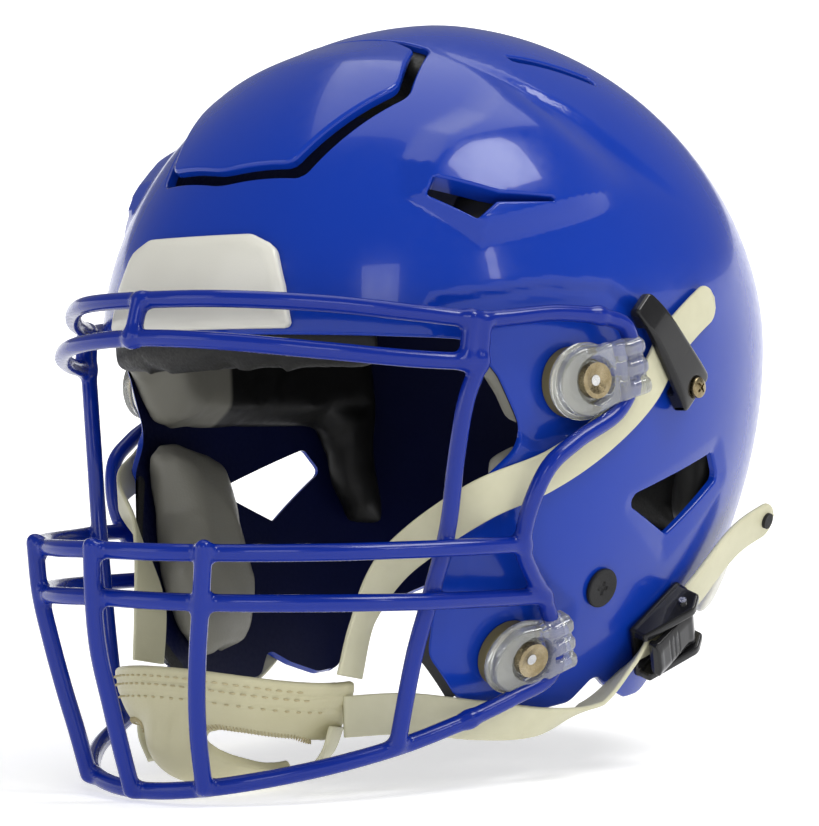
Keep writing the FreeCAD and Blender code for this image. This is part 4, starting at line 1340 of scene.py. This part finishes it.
# ---- liner -----------------------------------------------------------------------------------
LINER_EDGE = rounded([(-170, 148), (-84, 150), (-68, 128), (-20, 125), (46, 125), (56, 84), (120, 78),
                      (170, 78), (170, 310), (-170, 310)], 5.0)
JAW_PAD_EDGE = rounded(
    [(-76, 124), (-56, 126), (-22, 118), (-18, 100), (-14, 60), (-30, 36), (-62, 34), (-76, 48),
     (-80, 70), (-74, 96)], [5, 8, 8, 14, 12, 12, 10, 8, 14, 14])
LINER_OUT = SHELL_T + PAD_GAP


def liner_depth(p):
    return outline_depth(side_plane(p), LINER_EDGE)


def front_pad_depth(p):
    x, y, z = np.abs(p[:, 0]), p[:, 1], p[:, 2]
    return np.minimum.reduce([73 - x, -66 - y, 230 - z, z - 147, liner_depth(p)])


def crown_pad_depth(p):
    x, y, z = np.abs(p[:, 0]), p[:, 1], p[:, 2]
    return np.minimum.reduce([56 - x, y + 62, 80 - y, z - 190])


def rear_pad_depth(p):
    x, y, z = np.abs(p[:, 0]), p[:, 1], p[:, 2]
    return np.minimum.reduce([56 - x, y - 84, z - 80, 290 - z])


def side_pad_depth(p):
    x, y, z = p[:, 0], p[:, 1], p[:, 2]
    split = np.where(y < -62, x - 77, x - 60)
    return np.minimum.reduce([split, y + 92, 78 - y, 229 - z, liner_depth(p)])


def jaw_pad_depth(p):
    return np.where(p[:, 0] > 20, outline_depth(side_plane(p), JAW_PAD_EDGE), FAR_OUTSIDE)


def pillow(depth_of, thickness, roll=12.0):
    """Closed pad under the shell, thin at its rim and full in the middle."""
    points, faces = form_skin(PAD_LEVEL)
    depth = depth_of(points)
    faces = faces[(depth[faces] > -8).any(axis=1)]
    points, faces = compact(points, faces)
    points, faces = slice_mesh(points, faces, depth_of, 1.0)
    faces = faces[depth_of(points[faces].mean(axis=1)) > 1.0]
    points, faces = compact(points, faces)
    depth = np.clip(depth_of(points) - 1.0, 0, roll) / roll
    swell = np.sqrt(1 - (1 - depth) ** 2)
    normal = form_normal(points)
    outer = points - normal * (LINER_OUT + 3.5 * (1 - swell))[:, None]
    inner = points - normal * (LINER_OUT + 4.5 + (thickness - 5.0) * swell)[:, None]
    count = len(points)
    rim = border(faces, count)
    quads = np.stack([rim[:, 1], rim[:, 0], rim[:, 0] + count, rim[:, 1] + count], 1)
    all_faces = [tuple(f) for f in faces] + [tuple(f + count) for f in faces[:, ::-1]]
    all_faces += [tuple(q) for q in quads]
    return np.concatenate([outer, inner]), all_faces, None


def plump(piece, voxel=5.0, cap=3.0):
    """Swell a pad as stuffed cloth, then round it off."""
    remesh = piece.modifiers.new("remesh", "REMESH")
    remesh.mode = "VOXEL"
    remesh.voxel_size = voxel * 0.001
    settle(piece)
    rest = np.empty(len(piece.data.vertices) * 3)
    piece.data.vertices.foreach_get("co", rest)
    cloth = piece.modifiers.new("cloth", "CLOTH")
    cloth.settings.use_pressure = True
    cloth.settings.uniform_pressure_force = 4.0
    cloth.settings.effector_weights.gravity = 0.0
    cloth.settings.quality = 5
    for step in range(1, 21):
        bpy.context.scene.frame_set(step)
    settle(piece)
    bpy.context.scene.frame_set(1)
    moved = np.empty(len(piece.data.vertices) * 3)
    piece.data.vertices.foreach_get("co", moved)
    shift = (moved - rest).reshape(-1, 3)
    length = np.linalg.norm(shift, axis=1, keepdims=True)
    shift *= np.minimum(1.0, cap * 0.001 / np.maximum(length, 1e-9))
    piece.data.vertices.foreach_set("co", (rest.reshape(-1, 3) + shift).ravel())
    piece.data.shade_smooth()
    rounder = piece.modifiers.new("rounder", "SUBSURF")
    rounder.levels = rounder.render_levels = 1


def settle(piece):
    """Turn the piece's modifiers into its mesh."""
    depsgraph = bpy.context.evaluated_depsgraph_get()
    depsgraph.update()
    final = bpy.data.meshes.new_from_object(piece.evaluated_get(depsgraph), depsgraph=depsgraph)
    piece.modifiers.clear()
    piece.data = final


for pad_name, pad_depth in (("front_pad", front_pad_depth), ("crown_pad", crown_pad_depth),
                            ("rear_pad", rear_pad_depth)):
    plump(put(pad_name + "_cushion", pillow(pad_depth, PAD_T - 2), BLACK_VINYL, node=pad_name))
for pad_name, pad_depth, pad_thickness, pad_cover, pad_slot in (
        ("side_pad", side_pad_depth, PAD_T - 2, SIDE_VINYL, "liner"),
        ("jaw_pad", jaw_pad_depth, PAD_T - 3, GREY_VINYL, "jaw_pad")):
    pad_shape = pillow(pad_depth, pad_thickness)
    for pad in put_pair(pad_name + "_cushion", pad_shape, pad_cover, node=pad_name):
        plump(pad)


# ---- carried-over metal and trim -------------------------------------------------------------
def finish_node(names, finish):
    """Material for CAD nodes that stay in view."""
    for name in names:
        mesh = frame["nodes"][name].data
        if len(mesh.materials) == 0:
            mesh.materials.append(finish)
        for k in range(len(mesh.materials)):
            mesh.materials[k] = finish


for side in ("left", "right"):
    finish_node(["upper_post_" + side, "lower_post_" + side], BRASS)
    finish_node(["upper_release_button_" + side, "lower_release_button_" + side,
                 "lower_buckle_pin_" + side], STEEL)
    finish_node(["jaw_trim_" + side], BLACK_RUBBER)
finish_node(["tee_nuts"], STEEL)
finish_node(["strap_tail_rivets"], BLACK_RUBBER)


# ---- stage, light and camera -----------------------------------------------------------------
def add_stage():
    """Pale floor curving up into a backdrop all round."""
    rings = [(0.0, 0.0), (1.2, 0.0), (4.0, 0.0), (4.9, 0.15), (5.4, 0.6), (5.6, 1.4)]
    sides = 64
    points, faces = [], []
    for radius, height in rings:
        for k in range(sides):
            a = math.tau * k / sides
            points.append((radius * math.cos(a), radius * math.sin(a), height - 0.001))
    for r in range(len(rings) - 1):
        for k in range(sides):
            n = (k + 1) % sides
            faces.append((r * sides + k, r * sides + n, (r + 1) * sides + n, (r + 1) * sides + k))
    mesh = bpy.data.meshes.new("stage_floor")
    mesh.from_pydata(points, [], faces)
    made, tree, shader = material("pale_stage", (0.80, 0.80, 0.80), 0.95)
    shader.inputs["Emission Color"].default_value = (1.0, 1.0, 1.0, 1.0)
    where = node(tree, "ShaderNodeTexCoord")
    reach = node(tree, "ShaderNodeVectorMath", operation="LENGTH")
    tree.links.new(where.outputs["Object"], reach.inputs[0])
    glow = spread(tree, reach.outputs["Value"], 0.55, 0.98, 0.3, 2.0)
    tree.links.new(glow, shader.inputs["Emission Strength"])
    mesh.materials.append(made)
    mesh.shade_smooth()
    floor = bpy.data.objects.new("stage_floor", mesh)
    bpy.context.scene.collection.objects.link(floor)


MIDDLE = Vector((0.0, 0.0, 0.15))


def add_light(name, place, size, power):
    """Rectangular soft light turned to the middle of the helmet."""
    data = bpy.data.lights.new(name, "AREA")
    data.shape = "RECTANGLE"
    data.size, data.size_y = size
    data.energy = power
    lamp = bpy.data.objects.new(name, data)
    bpy.context.scene.collection.objects.link(lamp)
    lamp.location = place
    lamp.rotation_euler = (MIDDLE - Vector(place)).to_track_quat("-Z", "Y").to_euler()


add_stage()
world = bpy.data.worlds.new("studio")
world.use_nodes = True
world.node_tree.nodes["Background"].inputs["Color"].default_value = (1.0, 1.0, 1.0, 1.0)
world.node_tree.nodes["Background"].inputs["Strength"].default_value = 0.26
bpy.context.scene.world = world
bpy.context.scene.view_settings.view_transform = "Standard"
add_light("key_high", (0.88, 0.22, 1.42), (0.6, 0.5), 11)
add_light("strip_light", (1.44, -0.05, 0.84), (0.1, 0.3), 1.0)
add_light("top_soft", (-0.1, 0.25, 1.5), (1.1, 1.1), 7)
add_light("side_fill", (1.2, -1.3, 0.9), (0.5, 0.5), 3.5)
add_light("front_fill", (-0.5, -1.6, 0.7), (0.8, 0.8), 3.5)

camera_data = bpy.data.cameras.new("camera")
camera_data.lens = 119.85
camera_data.sensor_width = 36.0
camera = bpy.data.objects.new("camera", camera_data)
bpy.context.scene.collection.objects.link(camera)
bpy.context.scene.camera = camera
camera_right = Vector((0.769298, 0.638881, -0.003396))
camera_up = Vector((0.004414, 0.0, 0.99999))
camera_back = camera_right.cross(camera_up).normalized()
camera_up = camera_back.cross(camera_right)
turn = camera.matrix_world.to_3x3()
for row in range(3):
    turn[row][0], turn[row][1], turn[row][2] = camera_right[row], camera_up[row], camera_back[row]
camera.matrix_world = turn.to_4x4()
camera.location = to_metres((699.53, -854.65, 134.0))
